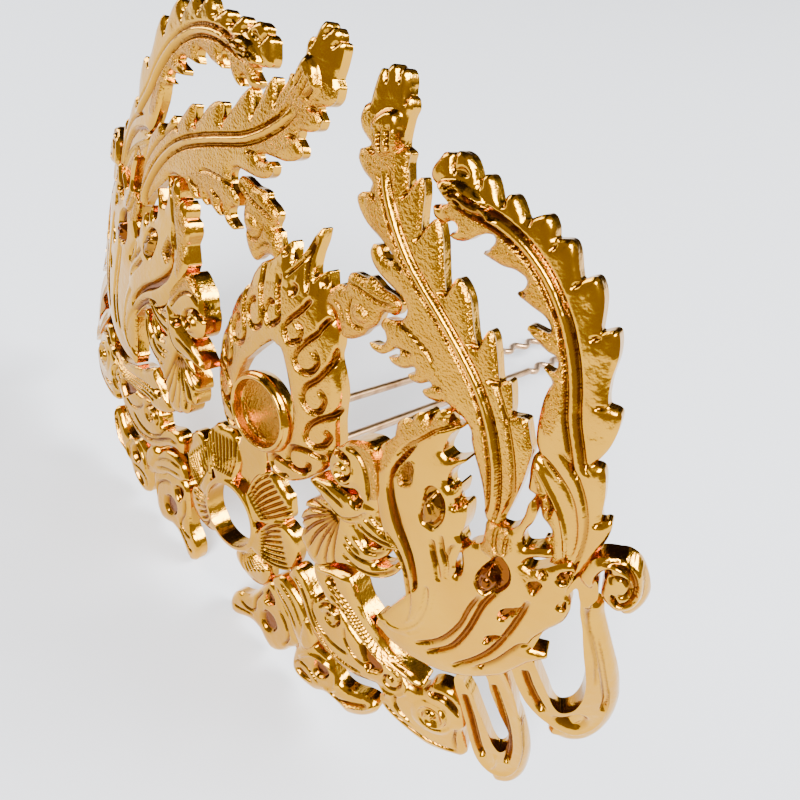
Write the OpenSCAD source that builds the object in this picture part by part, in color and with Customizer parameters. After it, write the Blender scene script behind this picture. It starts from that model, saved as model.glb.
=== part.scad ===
// Phoenix crown: an openwork casting bent round the head, standing on its two feet and its hair fork.
// The ornament is drawn flat, across (u) and up (v) from the flower's middle, and then bent.

/* [Casting] */
// Thickness of the plate behind its front face
plate_t = 1.8; // [1.4:0.1:2.4]
// Rise of the rounded front over its edges
crown_rise = 0.6; // [0.3:0.1:0.8]
// Slope of the bent plate at the bend reference, in degrees
bend_deg = 27; // [15:1:32]
// Gap kept between neighbouring parts of the casting
seam = 0.12; // [0.08:0.02:0.2]

/* [Stone cup] */
// Height of the cup's centre over the flower's middle
cup_v = 25; // [24:0.5:26]
// Radius of the seat for a stone
cup_r = 5.4; // [4.8:0.1:5.6]
// Width of the cup's rim
cup_rim = 0.7; // [0.5:0.1:0.9]
// Height of the rim over the front face
cup_rise = 1.4; // [1:0.1:2]
// Depth of the seat below the rim
cup_depth = 2; // [1.4:0.1:2.2]

/* [Flower] */
// Radius of the hole through the flower
hole_r = 5.9; // [5:0.1:6.2]
// Width of the collar round the hole
collar_w = 1.4; // [1:0.1:2]
// Height of the collar over the front face
collar_rise = 1; // [0.5:0.1:1.5]
// Height of the hole's centre
hole_v = 1.2; // [0.8:0.1:1.6]

/* [Hair fork] */
// Diameter of the fork's wire
wire_d = 1.7; // [0.8:0.1:1.8]
// Distance between the two legs
fork_gap = 8.6; // [7:0.1:9.2]
// Reach of the fork behind the plate
fork_reach = 118; // [90:1:120]
// Height at which the fork meets the plate
fork_v = 16.6; // [16:0.1:17.4]
// Drop of the fork along its reach
fork_drop = 10; // [6:0.5:12]
// Sideways swing of the crimps
crimp = 0.7; // [0.4:0.1:1.4]

/* [Hidden] */
bend_u = 56;
wire_r = wire_d / 2;
foot_v = -19.3;
// The crown leans back until its feet and the fork's tips touch the same plane
tip_v = fork_v - fork_drop - wire_r;
lean = atan((tip_v - foot_v) / (fork_reach - plate_t));

// Tangent angle of the bent plate at a distance from its middle
function bend_at(u) = bend_deg * pow(u / bend_u, 3);
arc = [for (i = 0, x = 0, y = 0; i <= 80;
    x = x + cos(bend_at(i + 0.5)), y = y + sin(bend_at(i + 0.5)), i = i + 1) [i, x, y]];
across_tab = [for (p = arc) [p[0], p[1]]];
behind_tab = [for (p = arc) [p[0], p[2]]];

// A point of the flat drawing, h over the front face, on the bent plate
function bent(u, v, h) = let (side = sign(u), a = bend_at(abs(u)))
    [side * (lookup(abs(u), across_tab) + h * sin(a)), lookup(abs(u), behind_tab) - h * cos(a), v];

// Smooth curve through the rows of a table, s from 0 to 1
function blend(a, b, c, d, t) = b + (c - a) * t / 2 + (2 * a - 5 * b + 4 * c - d) * t * t / 2
    + (3 * b - a - 3 * c + d) * t * t * t / 2;
function along(tab, s) = let (n = len(tab) - 1, i = min(floor(s * n), n - 1), t = s * n - i)
    blend(tab[max(i - 1, 0)], tab[i], tab[i + 1], tab[min(i + 2, n)], t);

// Cross sections. Columns: place across from -1 to 1, drop below the crest as a share of the rise
broad = [[-1, 1], [-0.7, 0.35], [0, 0], [0.7, 0.35], [1, 1]];
slim = [[-1, 1], [0, 0], [1, 1]];

// Faces of a tube through rings of points, closed at both ends
function skin(rings, n) = concat([[for (j = [0 : n - 1]) j]],
    [[for (j = [n - 1 : -1 : 0]) (rings - 1) * n + j]],
    [for (k = [0 : rings - 2], j = [0 : n - 1]) let (a = k * n + j, b = k * n + (j + 1) % n)
        each [[a, a + n, b + n], [a, b + n, b]]]);

// The medallion swells towards the viewer at its middle
function no_swell(u, v) = 0;
function swell(u, v) = 1.1 - 0.014 * u * u - (v > 38 ? 0.0075 : 0.002) * (v - 38) * (v - 38);

// A smooth-edged leaf along a spine table.
// Table columns: across, up, width to the left of travel, width to the right, height of the crest.
module leaf(tab, rows, section = broad, back = -plate_t, thick = 0, rise = crown_rise, grow = 0,
        swollen = false) {
    step = 0.2 / rows;
    n = len(section) + 2;
    rings = [for (k = [0 : rows])
        let (s = k / rows, p = along(tab, s), q = along(tab, min(s + step, 1)) - along(tab, max(s - step, 0)),
            run = norm([q[0], q[1]]), tu = q[0] / run, tv = q[1] / run,
            end = k == 0 ? -grow : k == rows ? grow : 0,
            floor_h = thick > 0 ? p[4] - thick : back,
            outline = concat([[-1, floor_h - grow]], [for (c = section) [c[0], p[4] - rise * c[1] + grow]],
                [[1, floor_h - grow]]))
        [for (c = outline)
            let (d = c[0] * (max(c[0] < 0 ? p[2] : p[3], 0.15) + grow),
                u = p[0] + d * tv + end * tu, v = p[1] - d * tu + end * tv)
            bent(u, v, c[1] + (swollen ? swell(u, v) : 0))]];
    polyhedron([for (r = rings) each r], skin(rows + 1, n), convexity = 8);
}

// Where along a spine a point lies
function station(tab, p) = let (gaps = [for (k = [0 : 60]) let (q = along(tab, k / 60)) norm([q[0] - p[0], q[1] - p[1]])])
    search(min(gaps), gaps)[0] / 60;
// Half a lobed feather, from its spine to one edge.
// Spine columns: across, up, height. Lobe columns: notch across, notch up, tip across, tip up.
// The half that lies lower by the sink tucks under the other one.
module lobed(spine, lobes, grow = 0, back = -plate_t, sink = 0) {
    m = len(lobes) - 1;
    edge = concat([for (i = [0 : m - 1])
        let (a = lobes[i], b = lobes[i + 1], s0 = station(spine, a), s1 = max(station(spine, b), s0 + 0.01),
            sm = s0 + 0.55 * (s1 - s0), c = along(spine, sm), h = [a[2] + b[0], a[3] + b[1]] / 2,
            out = (h - [c[0], c[1]]) / norm(h - [c[0], c[1]]), reach = norm([a[2] - b[0], a[3] - b[1]]))
        each [[s0, a[0], a[1]], [s0 + 0.12 * (s1 - s0), a[2], a[3]],
            [sm, h[0] + 0.1 * reach * out[0], h[1] + 0.1 * reach * out[1]]]],
        [[station(spine, lobes[m]), lobes[m][0], lobes[m][1]]]);
    rings = [for (e = edge)
        let (p = along(spine, min(e[0], 1)) - [0, 0, sink], w = [e[1] - p[0], e[2] - p[1]], l = max(norm(w), 0.5), o = w / norm(w))
        [bent(p[0] - 0.3 * o[0], p[1] - 0.3 * o[1], back - grow),
            bent(p[0] - 0.3 * o[0], p[1] - 0.3 * o[1], p[2] + grow),
            bent(p[0] + 0.7 * l * o[0], p[1] + 0.7 * l * o[1], p[2] - 0.3 * crown_rise + grow),
            bent(p[0] + (l + grow) * o[0], p[1] + (l + grow) * o[1], p[2] - crown_rise + grow),
            bent(p[0] + (l + grow) * o[0], p[1] + (l + grow) * o[1], back - grow)]];
    q = along(spine, 0.5) - along(spine, 0.45);
    w = [edge[2][1] - spine[0][0], edge[2][2] - spine[0][1]];
    turn = (along(spine, 0.1) - spine[0])[0] * w[1] - (along(spine, 0.1) - spine[0])[1] * w[0];
    polyhedron([for (r = rings) each (turn > 0 ? [for (j = [4 : -1 : 0]) r[j]] : r)],
        skin(len(edge), 5), convexity = 8);
}

// The spine table of a plume that leaves a point at a heading and curls.
// Columns: across, up, heading in degrees, curl in degrees, length, half width, height of the crest.
function plume_tab(p, n = 4) = [for (i = 0, u = p[0], v = p[1]; i <= n;
    u = u + p[4] / n * cos(p[2] + p[3] * (i + 0.5) / n),
    v = v + p[4] / n * sin(p[2] + p[3] * (i + 0.5) / n), i = i + 1)
    let (w = p[5] * (i == n ? 0.15 : sin(50 + 110 * i / n))) [u, v, w, w, p[6] - 0.2 * i / n]];
module plumes(tab, rows = 4, grow = 0, back = -plate_t) {
    for (p = tab) leaf(plume_tab(p), rows, section = slim, grow = grow, back = back);
}

// The spine table of a spiral. Columns: across, up, outer radius, start angle, turn in degrees, half width, height
function spiral_tab(p, n = 9) = [for (i = [0 : n]) let (a = p[3] + p[4] * i / n, r = p[2] * (1 - 0.72 * i / n))
    [p[0] + r * cos(a), p[1] + r * sin(a), p[5] * (1 - 0.4 * i / n), p[5] * (1 - 0.4 * i / n), p[6]]];

// Medallion. Columns as for leaf, height over the swell
arm = [
    [1.4, 47.6, 3.4, 3.0, -0.2], [3.3, 43.6, 4.2, 4.0, 0], [5.5, 39.6, 4.6, 4.4, 0],
    [7.8, 35.6, 4.6, 4.3, 0], [9.7, 31.4, 3.6, 3.9, 0], [10.1, 27.4, 3.0, 4.6, 0],
    [9.8, 23.6, 2.9, 3.6, 0], [8.2, 20.8, 2.3, 2.6, 0], [5.8, 19.6, 1.3, 1.1, -0.2]];
flame = [[0, 55.9, 0.15, 0.15, 0], [0, 53.4, 0.9, 0.9, 0.3], [0, 50.2, 2.0, 2.0, 0.4],
    [0, 46.4, 3.2, 3.2, 0.3], [0, 42.0, 2.4, 2.4, 0.1], [0, 39.0, 0.9, 0.9, 0]];
flame_side = [[2.5, 52.6, 0.2, 0.2, -1.6], [2.9, 49.8, 1.6, 2.0, -1.2], [2.8, 46.0, 2.0, 2.4, -0.8]];
tab_strip = [[0.4, 20.5, 2.2, 2.2, -0.5], [0.4, 14.0, 2.0, 2.0, -0.6], [0, 8.4, 1.8, 1.8, -0.6]];

// Flower. Columns: angle, outer radius, half width, drop of the tip
petals = [[52, 13.8, 4.5, 2.8], [4, 14.6, 4.7, 2.8], [-47, 14.8, 4.4, 2.2]];

// Feather spines. Columns as for lobed
inner_spine = [[5.2, 50.1, -0.5], [7.8, 50.8, -0.3], [10.6, 51.4, -0.1], [14.0, 52.4, -0.1], [17.4, 53.4, 0]];
inner_above = [[5.3, 50.7, 6.0, 52.0], [6.6, 51.6, 7.4, 54.0], [9.2, 52.8, 10.2, 55.5],
    [13.2, 54.6, 14.4, 55.9], [17.2, 54.9]];
inner_below = [[4.9, 49.4, 5.8, 48.2], [8.0, 48.4, 9.6, 45.8], [11.4, 48.6, 12.4, 48.8],
    [14.6, 50.2, 15.2, 50.6], [17.2, 52.0]];
middle_spine = [
    [5.1, 78.0, 0.3], [5.5, 75.0, 0.4], [6.3, 71.5, 0.4], [7.4, 68.3, 0.3], [8.9, 65.8, 0.3],
    [10.7, 63.5, 0.3], [12.8, 61.5, 0.2], [15.4, 59.8, 0.2], [18.2, 58.4, 0.2], [21.4, 57.0, 0.2],
    [25.2, 54.9, 0.2], [30.0, 51.8, 0.2], [33.6, 48.2, 0.2], [36.2, 44.2, 0.1], [37.8, 40.6, 0],
    [38.6, 37.2, 0]];
middle_above = [[5.4, 79.0, 6.9, 77.4], [7.6, 75.6, 8.2, 75.4], [8.3, 71.6, 9.7, 71.4],
    [11.2, 66.8, 12.6, 69.6], [15.2, 63.6, 16.2, 66.8], [20.8, 60.2, 21.2, 62.9],
    [27.2, 57.0, 27.8, 59.3], [30.8, 55.2, 31.4, 57.4], [34.2, 51.8, 34.6, 55.0],
    [37.2, 47.6, 38.0, 48.4], [39.6, 42.0, 39.8, 41.0], [39.9, 37.4]];
middle_below = [[4.6, 78.8, 3.2, 77.4], [2.7, 73.2, 1.9, 71.8], [4.3, 69.8, 3.2, 67.8],
    [6.4, 65.0, 5.0, 63.3], [12.4, 59.6, 9.6, 59.2], [16.6, 54.0, 15.4, 51.6],
    [16.4, 50.4, 14.0, 48.1], [19.0, 49.6, 17.4, 47.8], [21.8, 49.3, 20.4, 47.8],
    [24.8, 49.2, 23.6, 48.0], [30.4, 47.4, 31.4, 46.8], [35.0, 42.0, 35.6, 41.2], [37.6, 37.0]];
outer_spine = [
    [14.2, 71.9, 0.3], [17.2, 71.6, 0.4], [20.4, 70.7, 0.4], [24.0, 70.2, 0.3], [27.4, 69.7, 0.3],
    [30.4, 68.6, 0.3], [33.4, 66.7, 0.3], [36.2, 64.0, 0.3], [38.6, 60.6, 0.3], [40.5, 57.0, 0.3],
    [42.6, 53.6, 0.3], [45.0, 50.0, 0.2], [47.4, 46.0, 0.2], [49.0, 41.5, 0.2], [49.8, 36.8, 0.1],
    [50.2, 32.4, 0]];
outer_above = [[14.2, 72.3, 15.0, 73.6], [16.4, 73.8, 17.6, 74.6], [19.4, 73.0, 20.2, 74.3],
    [22.8, 72.7, 23.8, 73.7], [26.2, 72.6, 27.4, 73.4], [29.8, 71.9, 30.8, 72.9],
    [33.8, 69.9, 35.2, 70.9], [38.2, 66.2, 39.2, 67.6], [42.1, 59.8, 43.7, 60.4],
    [44.9, 52.4, 46.0, 53.3], [49.0, 47.4, 50.0, 48.0], [50.6, 40.4, 50.8, 38.4], [50.7, 32.4]];
outer_below = [[14.2, 71.5, 14.2, 70.2], [17.4, 68.6, 15.4, 67.2], [23.6, 68.5, 22.6, 66.9],
    [29.2, 66.4, 28.2, 64.9], [33.4, 63.2, 31.6, 62.6], [36.0, 60.6, 34.4, 60.2],
    [37.2, 57.6, 35.7, 56.9], [39.2, 53.8, 38.6, 52.4], [46.4, 44.0, 46.8, 42.0], [48.8, 32.4]];
flank_spine = [[38.4, 50.4, 0.5], [41.2, 49.4, 0.7], [44.0, 47.6, 0.8], [46.4, 44.8, 0.8],
    [48.0, 41.6, 0.7], [49.0, 38.0, 0.5], [49.6, 34.0, 0.3]];
flank_above = [[38.6, 51.0, 39.6, 51.6], [44.6, 50.4, 45.4, 50.0], [49.0, 43.6, 49.4, 42.4], [50.3, 34.0]];
flank_below = [[38.2, 49.8, 39.4, 48.0], [40.6, 47.6, 41.2, 45.8], [43.4, 44.8, 43.4, 43.2],
    [45.8, 42.0, 45.4, 40.6], [47.8, 38.0, 47.6, 37.2], [48.2, 34.0]];

// Wing. Columns as for leaf
flight_spine = [
    [43.6, 39.6, 1.2, 2.0, 0.4], [43.9, 37.0, 3.0, 4.0, 0.7], [44.5, 33.0, 6.4, 5.6, 1.0],
    [44.8, 29.0, 6.7, 5.2, 1.2], [44.8, 25.0, 6.7, 5.4, 1.3], [44.2, 20.5, 7.1, 5.4, 1.3],
    [42.8, 16.2, 6.6, 4.8, 1.2], [40.2, 13.0, 5.0, 3.6, 1.0], [36.5, 10.8, 3.0, 2.4, 0.9],
    [32.6, 9.8, 1.2, 1.2, 0.7]];
covert_spine = [
    [27.7, 48.0, 0.4, 0.4, 0.6], [27.1, 45.3, 1.8, 1.4, 0.8], [26.8, 42.0, 2.4, 2.8, 0.9],
    [27.3, 38.5, 4.4, 4.0, 1.0], [28.7, 35.0, 5.6, 5.6, 1.2], [30.5, 31.6, 6.0, 5.6, 1.4],
    [32.9, 28.0, 5.2, 4.6, 1.5], [35.0, 24.0, 4.4, 3.7, 1.6], [36.4, 19.6, 3.4, 2.7, 1.6],
    [36.5, 15.2, 2.6, 2.2, 1.5], [35.0, 12.0, 2.0, 1.8, 1.2], [32.2, 10.0, 1.0, 1.0, 0.9]];
covert_tips = [
    [28.4, 42.6, 82, 0, 4.6, 1.1, 0.7], [30.2, 39.8, 64, 15, 4.4, 1.3, 0.8], [31.8, 37.4, 64, 15, 4.4, 1.2, 0.8],
    [33.4, 34.6, 64, 15, 4.6, 1.3, 0.8], [35.0, 31.6, 58, 20, 4.6, 1.2, 0.7],
    [36.8, 28.0, 62, 15, 3.6, 1.0, 0.6], [25.8, 43.2, 115, -20, 3.0, 1.1, 0.6],
    [24.6, 40.2, 135, -20, 2.8, 1.2, 0.6], [24.0, 36.8, 155, -20, 2.8, 1.2, 0.7]];
flight_tips = [
    [42.2, 37.0, 98, -6, 8.4, 1.0, 0.5], [44.6, 36.6, 42, 40, 3.6, 1.2, 0.5],
    [46.8, 34.6, 30, 45, 3.2, 1.2, 0.6], [39.6, 33.2, 112, -20, 4.2, 1.1, 0.6],
    [50.0, 31.4, 60, 20, 4.4, 1.1, 0.6], [50.4, 24.2, 0, 35, 3.3, 1.0, 0.6]];

// Head. Columns as for leaf
brow_spine = [[15.4, 28.6, 1.0, 1.0, 0.8], [18.0, 29.6, 2.6, 2.8, 1.0], [21.2, 30.2, 2.4, 3.2, 1.0],
    [24.6, 30.6, 1.8, 2.6, 0.8]];
bill_spine = [[12.2, 22.6, 0.3, 0.3, 0.4], [15.2, 23.5, 0.7, 1.0, 0.9], [18.8, 23.9, 1.1, 2.0, 1.2],
    [22.2, 24.7, 2.2, 3.0, 1.3], [25.2, 27.4, 2.4, 2.4, 1.0]];
ruff = [[20.4, 22.4, 212, 12, 6.6, 1.6, 1.1], [20.2, 22.2, 226, 12, 8.8, 1.8, 1.2],
    [20.2, 22.0, 240, 10, 10.6, 1.8, 1.3], [20.4, 22.0, 254, 6, 11.8, 1.8, 1.3],
    [20.8, 22.0, 268, 0, 11.6, 1.8, 1.3], [21.4, 22.0, 281, -2, 10.4, 1.7, 1.2],
    [22.2, 22.2, 297, -4, 9.0, 1.7, 1.1]];
hook_low = [[22.2, 18.4, 1.4, 1.4, 1.0], [25.4, 16.2, 1.6, 1.6, 0.9], [28.6, 17.0, 1.4, 1.4, 0.8],
    [30.7, 19.6, 0.9, 0.9, 0.6], [31.5, 22.4, 0.2, 0.2, 0.4]];
hook_high = [[22.6, 21.2, 1.1, 1.1, 1.0], [25.4, 19.6, 1.4, 1.4, 0.9], [27.9, 20.6, 1.1, 1.1, 0.7],
    [29.0, 23.4, 0.2, 0.2, 0.4]];
cheek = [[23.2, 28.4, 1.4, 1.4, 0.8], [25.8, 26.0, 1.6, 1.4, 0.8], [28.4, 24.6, 1.0, 0.8, 0.6],
    [30.6, 23.8, 0.2, 0.2, 0.4]];
breast = [[18.2, 9.4, 0.4, 0.6, 0.4], [20.4, 9.2, 1.8, 1.8, 0.8], [23.6, 9.6, 3.2, 3.2, 1.2],
    [26.8, 9.2, 2.8, 2.8, 1.2], [30.0, 8.4, 1.2, 2.0, 0.8], [34.0, 7.6, 0.6, 1.2, 0.5]];
body_ribs = [[27.4, 8.2, -8, -4, 15.5, 0.75, 0.9], [26.0, 6.9, -12, 10, 16.5, 0.75, 0.9],
    [26.2, 5.6, -12, 14, 12.0, 0.75, 0.8]];
flank = [[25.0, 6.8, 1.6, 1.6, 0.3], [30.0, 6.4, 2.0, 2.2, 0.4], [36.0, 6.2, 2.0, 2.2, 0.4],
    [43.0, 5.8, 1.2, 1.2, 0.3]];

// Cloud band. Columns as for leaf
strap_high = [[13.0, 1.0, 0.7, 0.7, 0.2], [16.4, 0.4, 0.7, 0.8, 0.2], [19.8, -1.5, 0.7, 0.8, 0.2],
    [23.0, -4.2, 0.8, 0.9, 0.2], [26.6, -5.7, 0.9, 1.0, 0.2], [31.0, -5.9, 1.2, 1.1, 0.2],
    [35.0, -4.8, 1.8, 1.4, 0.2], [38.4, -2.6, 1.0, 1.4, 0.2]];
strap_low = [[11.4, -2.2, 0.6, 0.7, 0.1], [12.4, -4.3, 0.6, 0.7, 0.1], [15.0, -5.5, 0.6, 0.7, 0.1],
    [17.6, -7.0, 0.6, 0.8, 0.1], [19.2, -9.0, 0.7, 0.9, 0.1], [20.4, -11.0, 0.9, 1.2, 0.1]];
foot_front = [[12.8, -4.4, 0.8, 0.8, 0.2], [10.8, -8.4, 1.2, 1.0, 0.2], [8.4, -12.4, 1.9, 1.5, 0.2],
    [6.8, -15.8, 1.9, 1.2, 0.2], [6.8, -19.2, 0.5, 0.6, 0.1]];
foot_sole = [[7.4, -18.2, 0.7, 0.7, 0.1], [10.4, -15.4, 1.4, 1.4, 0.1], [13.8, -14.2, 2.0, 3.6, 0.1],
    [17.0, -13.2, 2.6, 5.4, 0.2], [19.8, -11.2, 1.4, 3.0, 0.2], [21.2, -9.8, 0.5, 0.5, 0.2]];
band_link = [[22.6, -3.2, 1.0, 1.0, 0], [22.8, -6.6, 1.3, 1.3, 0], [22.0, -10.4, 1.3, 1.3, 0],
    [23.2, -13.4, 0.8, 0.8, 0]];
lower_lobe = [[22.8, -16.4, 0.6, 0.6, 0.1], [25.0, -12.8, 2.4, 4.6, 0.3], [28.6, -11.0, 2.8, 5.0, 0.4],
    [33.0, -10.0, 3.0, 3.9, 0.4], [36.6, -8.8, 2.6, 3.5, 0.3], [38.8, -6.2, 0.9, 0.9, 0.2]];
inner_lobe = [[26.4, 3.4, 0.8, 0.8, 0.2], [28.6, 1.2, 2.4, 2.0, 0.4], [31.0, -1.4, 3.4, 3.0, 0.5],
    [34.6, -3.2, 2.6, 2.0, 0.3], [38.6, -2.6, 1.0, 1.0, 0.2]];
base_leaf = [[35.6, -2.6, 1.4, 1.4, 0.2], [39.6, -3.6, 2.2, 2.0, 0.3], [44.0, -4.2, 2.4, 2.3, 0.3],
    [48.8, -4.2, 3.4, 2.4, 0.3], [53.8, -3.8, 0.3, 0.3, 0.1]];
hood = [[42.6, 0.4, 1.2, 1.2, 0.3], [43.2, 3.8, 1.2, 1.4, 0.6], [45.4, 6.8, 1.3, 1.4, 0.8],
    [48.4, 6.4, 1.3, 1.4, 0.8], [50.2, 3.2, 1.3, 1.4, 0.7], [50.8, -1.2, 1.3, 1.4, 0.4],
    [50.2, -4.2, 1.0, 1.0, 0.3]];
scrolls = [[25.4, 2.6, 2.0, 150, 420, 0.8, 0.5], [38.2, 1.6, 2.0, -120, 400, 0.8, 0.4],
    [46.6, 0.6, 3.2, 60, 470, 1.0, 0.6]];
head_link = [[29.5, 1.6, 1.2, 1.2, 0.1], [30.0, 5.0, 1.2, 1.2, 0.1]];
scroll_link = [[38.6, 3.0, 1.2, 1.2, 0.1], [41.0, 4.2, 1.2, 1.2, 0.1], [43.6, 3.8, 0.9, 0.9, 0.1]];
curl_link = [[38.0, -0.2, 1.2, 1.2, 0.1], [38.2, -2.6, 1.2, 1.2, 0.1]];

// Side loops. Columns as for leaf
small_loop = [
    [49.2, 17.6, 1.0, 1.0, 0.3], [51.2, 14.6, 1.3, 1.3, 0.5], [54.0, 10.8, 1.4, 1.4, 0.6],
    [56.8, 6.6, 1.5, 1.5, 0.7], [59.7, 2.0, 1.6, 1.6, 0.8], [61.3, -2.5, 1.6, 1.6, 0.8],
    [59.8, -4.9, 1.4, 1.4, 0.8], [57.3, -3.3, 1.6, 1.7, 0.8], [54.4, 0.2, 1.6, 1.7, 0.7],
    [52.2, 4.0, 1.5, 1.5, 0.6], [49.6, 7.8, 1.4, 1.3, 0.5], [46.8, 11.4, 1.2, 1.2, 0.3]];
large_loop = [
    [50.0, 24.0, 1.0, 1.0, 0.4], [52.4, 20.6, 1.5, 1.5, 0.6], [55.2, 17.4, 2.0, 1.8, 0.8],
    [58.8, 14.4, 2.4, 2.5, 0.9], [62.2, 13.8, 2.7, 3.2, 1.0], [64.0, 16.8, 2.4, 2.7, 1.0],
    [63.4, 20.8, 2.0, 1.8, 0.9], [61.4, 25.0, 1.6, 1.4, 0.8], [58.9, 29.0, 1.3, 1.2, 0.8],
    [56.2, 32.9, 1.1, 1.1, 0.7], [54.0, 36.8, 1.1, 1.1, 0.7], [52.5, 40.2, 1.1, 1.1, 0.7],
    [52.7, 42.5, 1.1, 1.1, 0.7], [54.6, 43.4, 1.1, 1.1, 0.7], [56.6, 42.2, 1.0, 1.0, 0.7],
    [57.2, 39.9, 1.0, 1.0, 0.6], [56.1, 38.1, 0.9, 0.9, 0.6], [54.6, 38.8, 0.7, 0.7, 0.5],
    [55.0, 40.7, 0.4, 0.4, 0.5]];

// The crown's own place: leant back, then set with its box centred over the origin
module stand() {
    stand_y = -56.35;
    stand_z = -foot_v * cos(lean) + plate_t * sin(lean);
    translate([0, stand_y, stand_z]) rotate([-lean, 0, 0]) children();
}
module left_side() {
    mirror([1, 0, 0]) children();
}
// A round solid that faces forward from the plate's middle: centre height, back and front
module facing(v, back, front) {
    translate([0, -back, v]) rotate([90, 0, 0]) linear_extrude(front - back) children();
}

module medallion_cast(grow = 0) {
    for (m = [0, 1]) mirror([m, 0, 0]) {
        leaf(arm, 16, thick = 1.7, grow = grow, swollen = true);
        leaf(flame_side, 4, section = slim, thick = 1.3, grow = grow, swollen = true);
    }
    leaf(flame, 7, section = slim, rise = 0.8, thick = 1.4, grow = grow, swollen = true);
}
module tab_cast(grow = 0) {
    leaf(tab_strip, 2, section = slim, rise = 0.2, grow = grow);
}
module medallion() {
    color("gold") stand() difference() {
        union() {
            medallion_cast();
            tab_cast();
            facing(cup_v, -1.6, cup_rise) circle(r = cup_r + cup_rim, $fn = 64);
        }
        facing(cup_v, cup_rise - cup_depth, cup_rise + 1) circle(r = cup_r, $fn = 64);
    }
}

module petal(p, grow = 0) {
    leaf([for (r = [0.36, 0.5, 0.66, 0.84, 1])
        let (w = p[2] * sin(42 + 123 * (r - 0.36) / 0.64))
        [p[1] * r * cos(p[0]), hole_v + p[1] * r * sin(p[0]), w, w, 0.9 - p[3] * pow((r - 0.36) / 0.64, 1.6)]],
        6, rise = 0.9, thick = 2, grow = grow);
}
module flower() {
    color("gold") stand() difference() {
        union() {
            for (m = [0, 1], p = petals) mirror([m, 0, 0]) petal(p);
            facing(hole_v, -2.4, collar_rise) circle(r = hole_r + collar_w, $fn = 64);
        }
        facing(hole_v, -6, 6) circle(r = hole_r, $fn = 64);
        tab_cast(seam);
        for (m = [0, 1]) mirror([m, 0, 0]) leaf(arm, 16, thick = 1.7, grow = seam, swollen = true);
    }
}

module inner_feather_cast(grow = 0) {
    lobed(inner_spine, inner_above, grow, back = -2);
    lobed(inner_spine, inner_below, grow, back = -1.9, sink = 0.1);
}
module inner_feather() {
    color("gold") stand() difference() {
        inner_feather_cast();
        leaf(arm, 16, thick = 1.7, grow = seam, swollen = true);
    }
}

module middle_feather_cast(grow = 0) {
    lobed(middle_spine, middle_above, grow);
    lobed(middle_spine, middle_below, grow, back = -1.7, sink = 0.1);
}
module middle_feather() {
    color("gold") stand() difference() {
        middle_feather_cast();
        for (x = [0, seam]) translate([x, 0, 0]) inner_feather_cast(seam);
        flight_cast(seam);
        covert_cast(seam);
    }
}

module outer_feather_cast(grow = 0) {
    lobed(outer_spine, outer_above, grow);
    lobed(outer_spine, outer_below, grow, back = -1.7, sink = 0.1);
    lobed(flank_spine, flank_above, grow, back = -1.6);
    lobed(flank_spine, flank_below, grow, back = -1.5, sink = 0.1);
}
module outer_feather() {
    color("gold") stand() difference() {
        outer_feather_cast();
        lobed(middle_spine, middle_above, seam);
        flight_cast(seam);
    }
}

module flight_cast(grow = 0) {
    leaf(flight_spine, 18, back = -1.7, grow = grow);
    plumes(flight_tips, grow = grow, back = -1.5);
}
module covert_cast(grow = 0) {
    leaf(covert_spine, 20, back = -1.6, grow = grow);
    plumes(covert_tips, grow = grow, back = -1.5);
}
module wing() {
    color("gold") stand() {
        flight_cast();
        covert_cast();
    }
}

module body_cast(grow = 0) {
    leaf(breast, 9, back = -2.2, grow = grow);
    leaf(flank, 5, section = slim, back = -1.9, grow = grow);
    plumes(body_ribs, grow = grow, back = -1.4);
}
module head_cast(grow = 0) {
    body_cast(grow);
    leaf(brow_spine, 6, back = -2.3, grow = grow);
    leaf(bill_spine, 7, back = -1.2, grow = grow);
    plumes(ruff, grow = grow, back = -1.5);
    for (h = [hook_low, hook_high, cheek]) leaf(h, 6, section = slim, back = -1.6, grow = grow);
    leaf(spiral_tab([17.9, 29.2, 2.5, -60, 450, 0.8, 1.5]), 9, section = slim, rise = 0.5, back = -0.8, grow = grow);
}
module head() {
    color("gold") stand() difference() {
        head_cast();
        leaf(arm, 16, thick = 1.7, grow = seam, swollen = true);
        leaf(flight_spine, 18, back = -1.7, grow = seam);
        covert_cast(seam);
    }
}

module hood_cast(grow = 0) {
    leaf(base_leaf, 8, back = -1.5, grow = grow);
    leaf(hood, 12, section = slim, back = -2.1, grow = grow);
}
module cloud_band_cast(grow = 0) {
    hood_cast(grow);
    leaf(strap_high, 12, section = slim, rise = 0.3, back = -2.5, grow = grow);
    leaf(strap_low, 10, section = slim, rise = 0.3, back = -2.4, grow = grow);
    leaf(band_link, 4, section = slim, rise = 0.3, back = -1.7, grow = grow);
    leaf(foot_front, 8, back = -2, grow = grow);
    leaf(foot_sole, 8, back = -1.9, grow = grow);
    leaf(lower_lobe, 8, back = -1.8, grow = grow);
    leaf(inner_lobe, 8, back = -1.6, grow = grow);
    for (s = [head_link, scroll_link, curl_link]) leaf(s, 2, section = slim, back = -1.4, grow = grow);
    for (p = scrolls) leaf(spiral_tab(p), 9, section = slim, rise = 0.5, back = -1.3, grow = grow);
}
module cloud_band() {
    color("gold") stand() difference() {
        cloud_band_cast();
        body_cast(seam);
        leaf(flight_spine, 18, back = -1.7, grow = seam);
        for (p = petals) petal(p, seam);
    }
}

module small_loop() {
    color("gold") stand() difference() {
        leaf(small_loop, 22, section = slim, rise = 1, back = -1.9);
        leaf(flight_spine, 18, back = -1.7, grow = seam);
        hood_cast(seam);
    }
}
module large_loop() {
    color("gold") stand() difference() {
        leaf(large_loop, 36, section = slim, rise = 1, back = -1.9);
        flight_cast(seam);
    }
}

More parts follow.
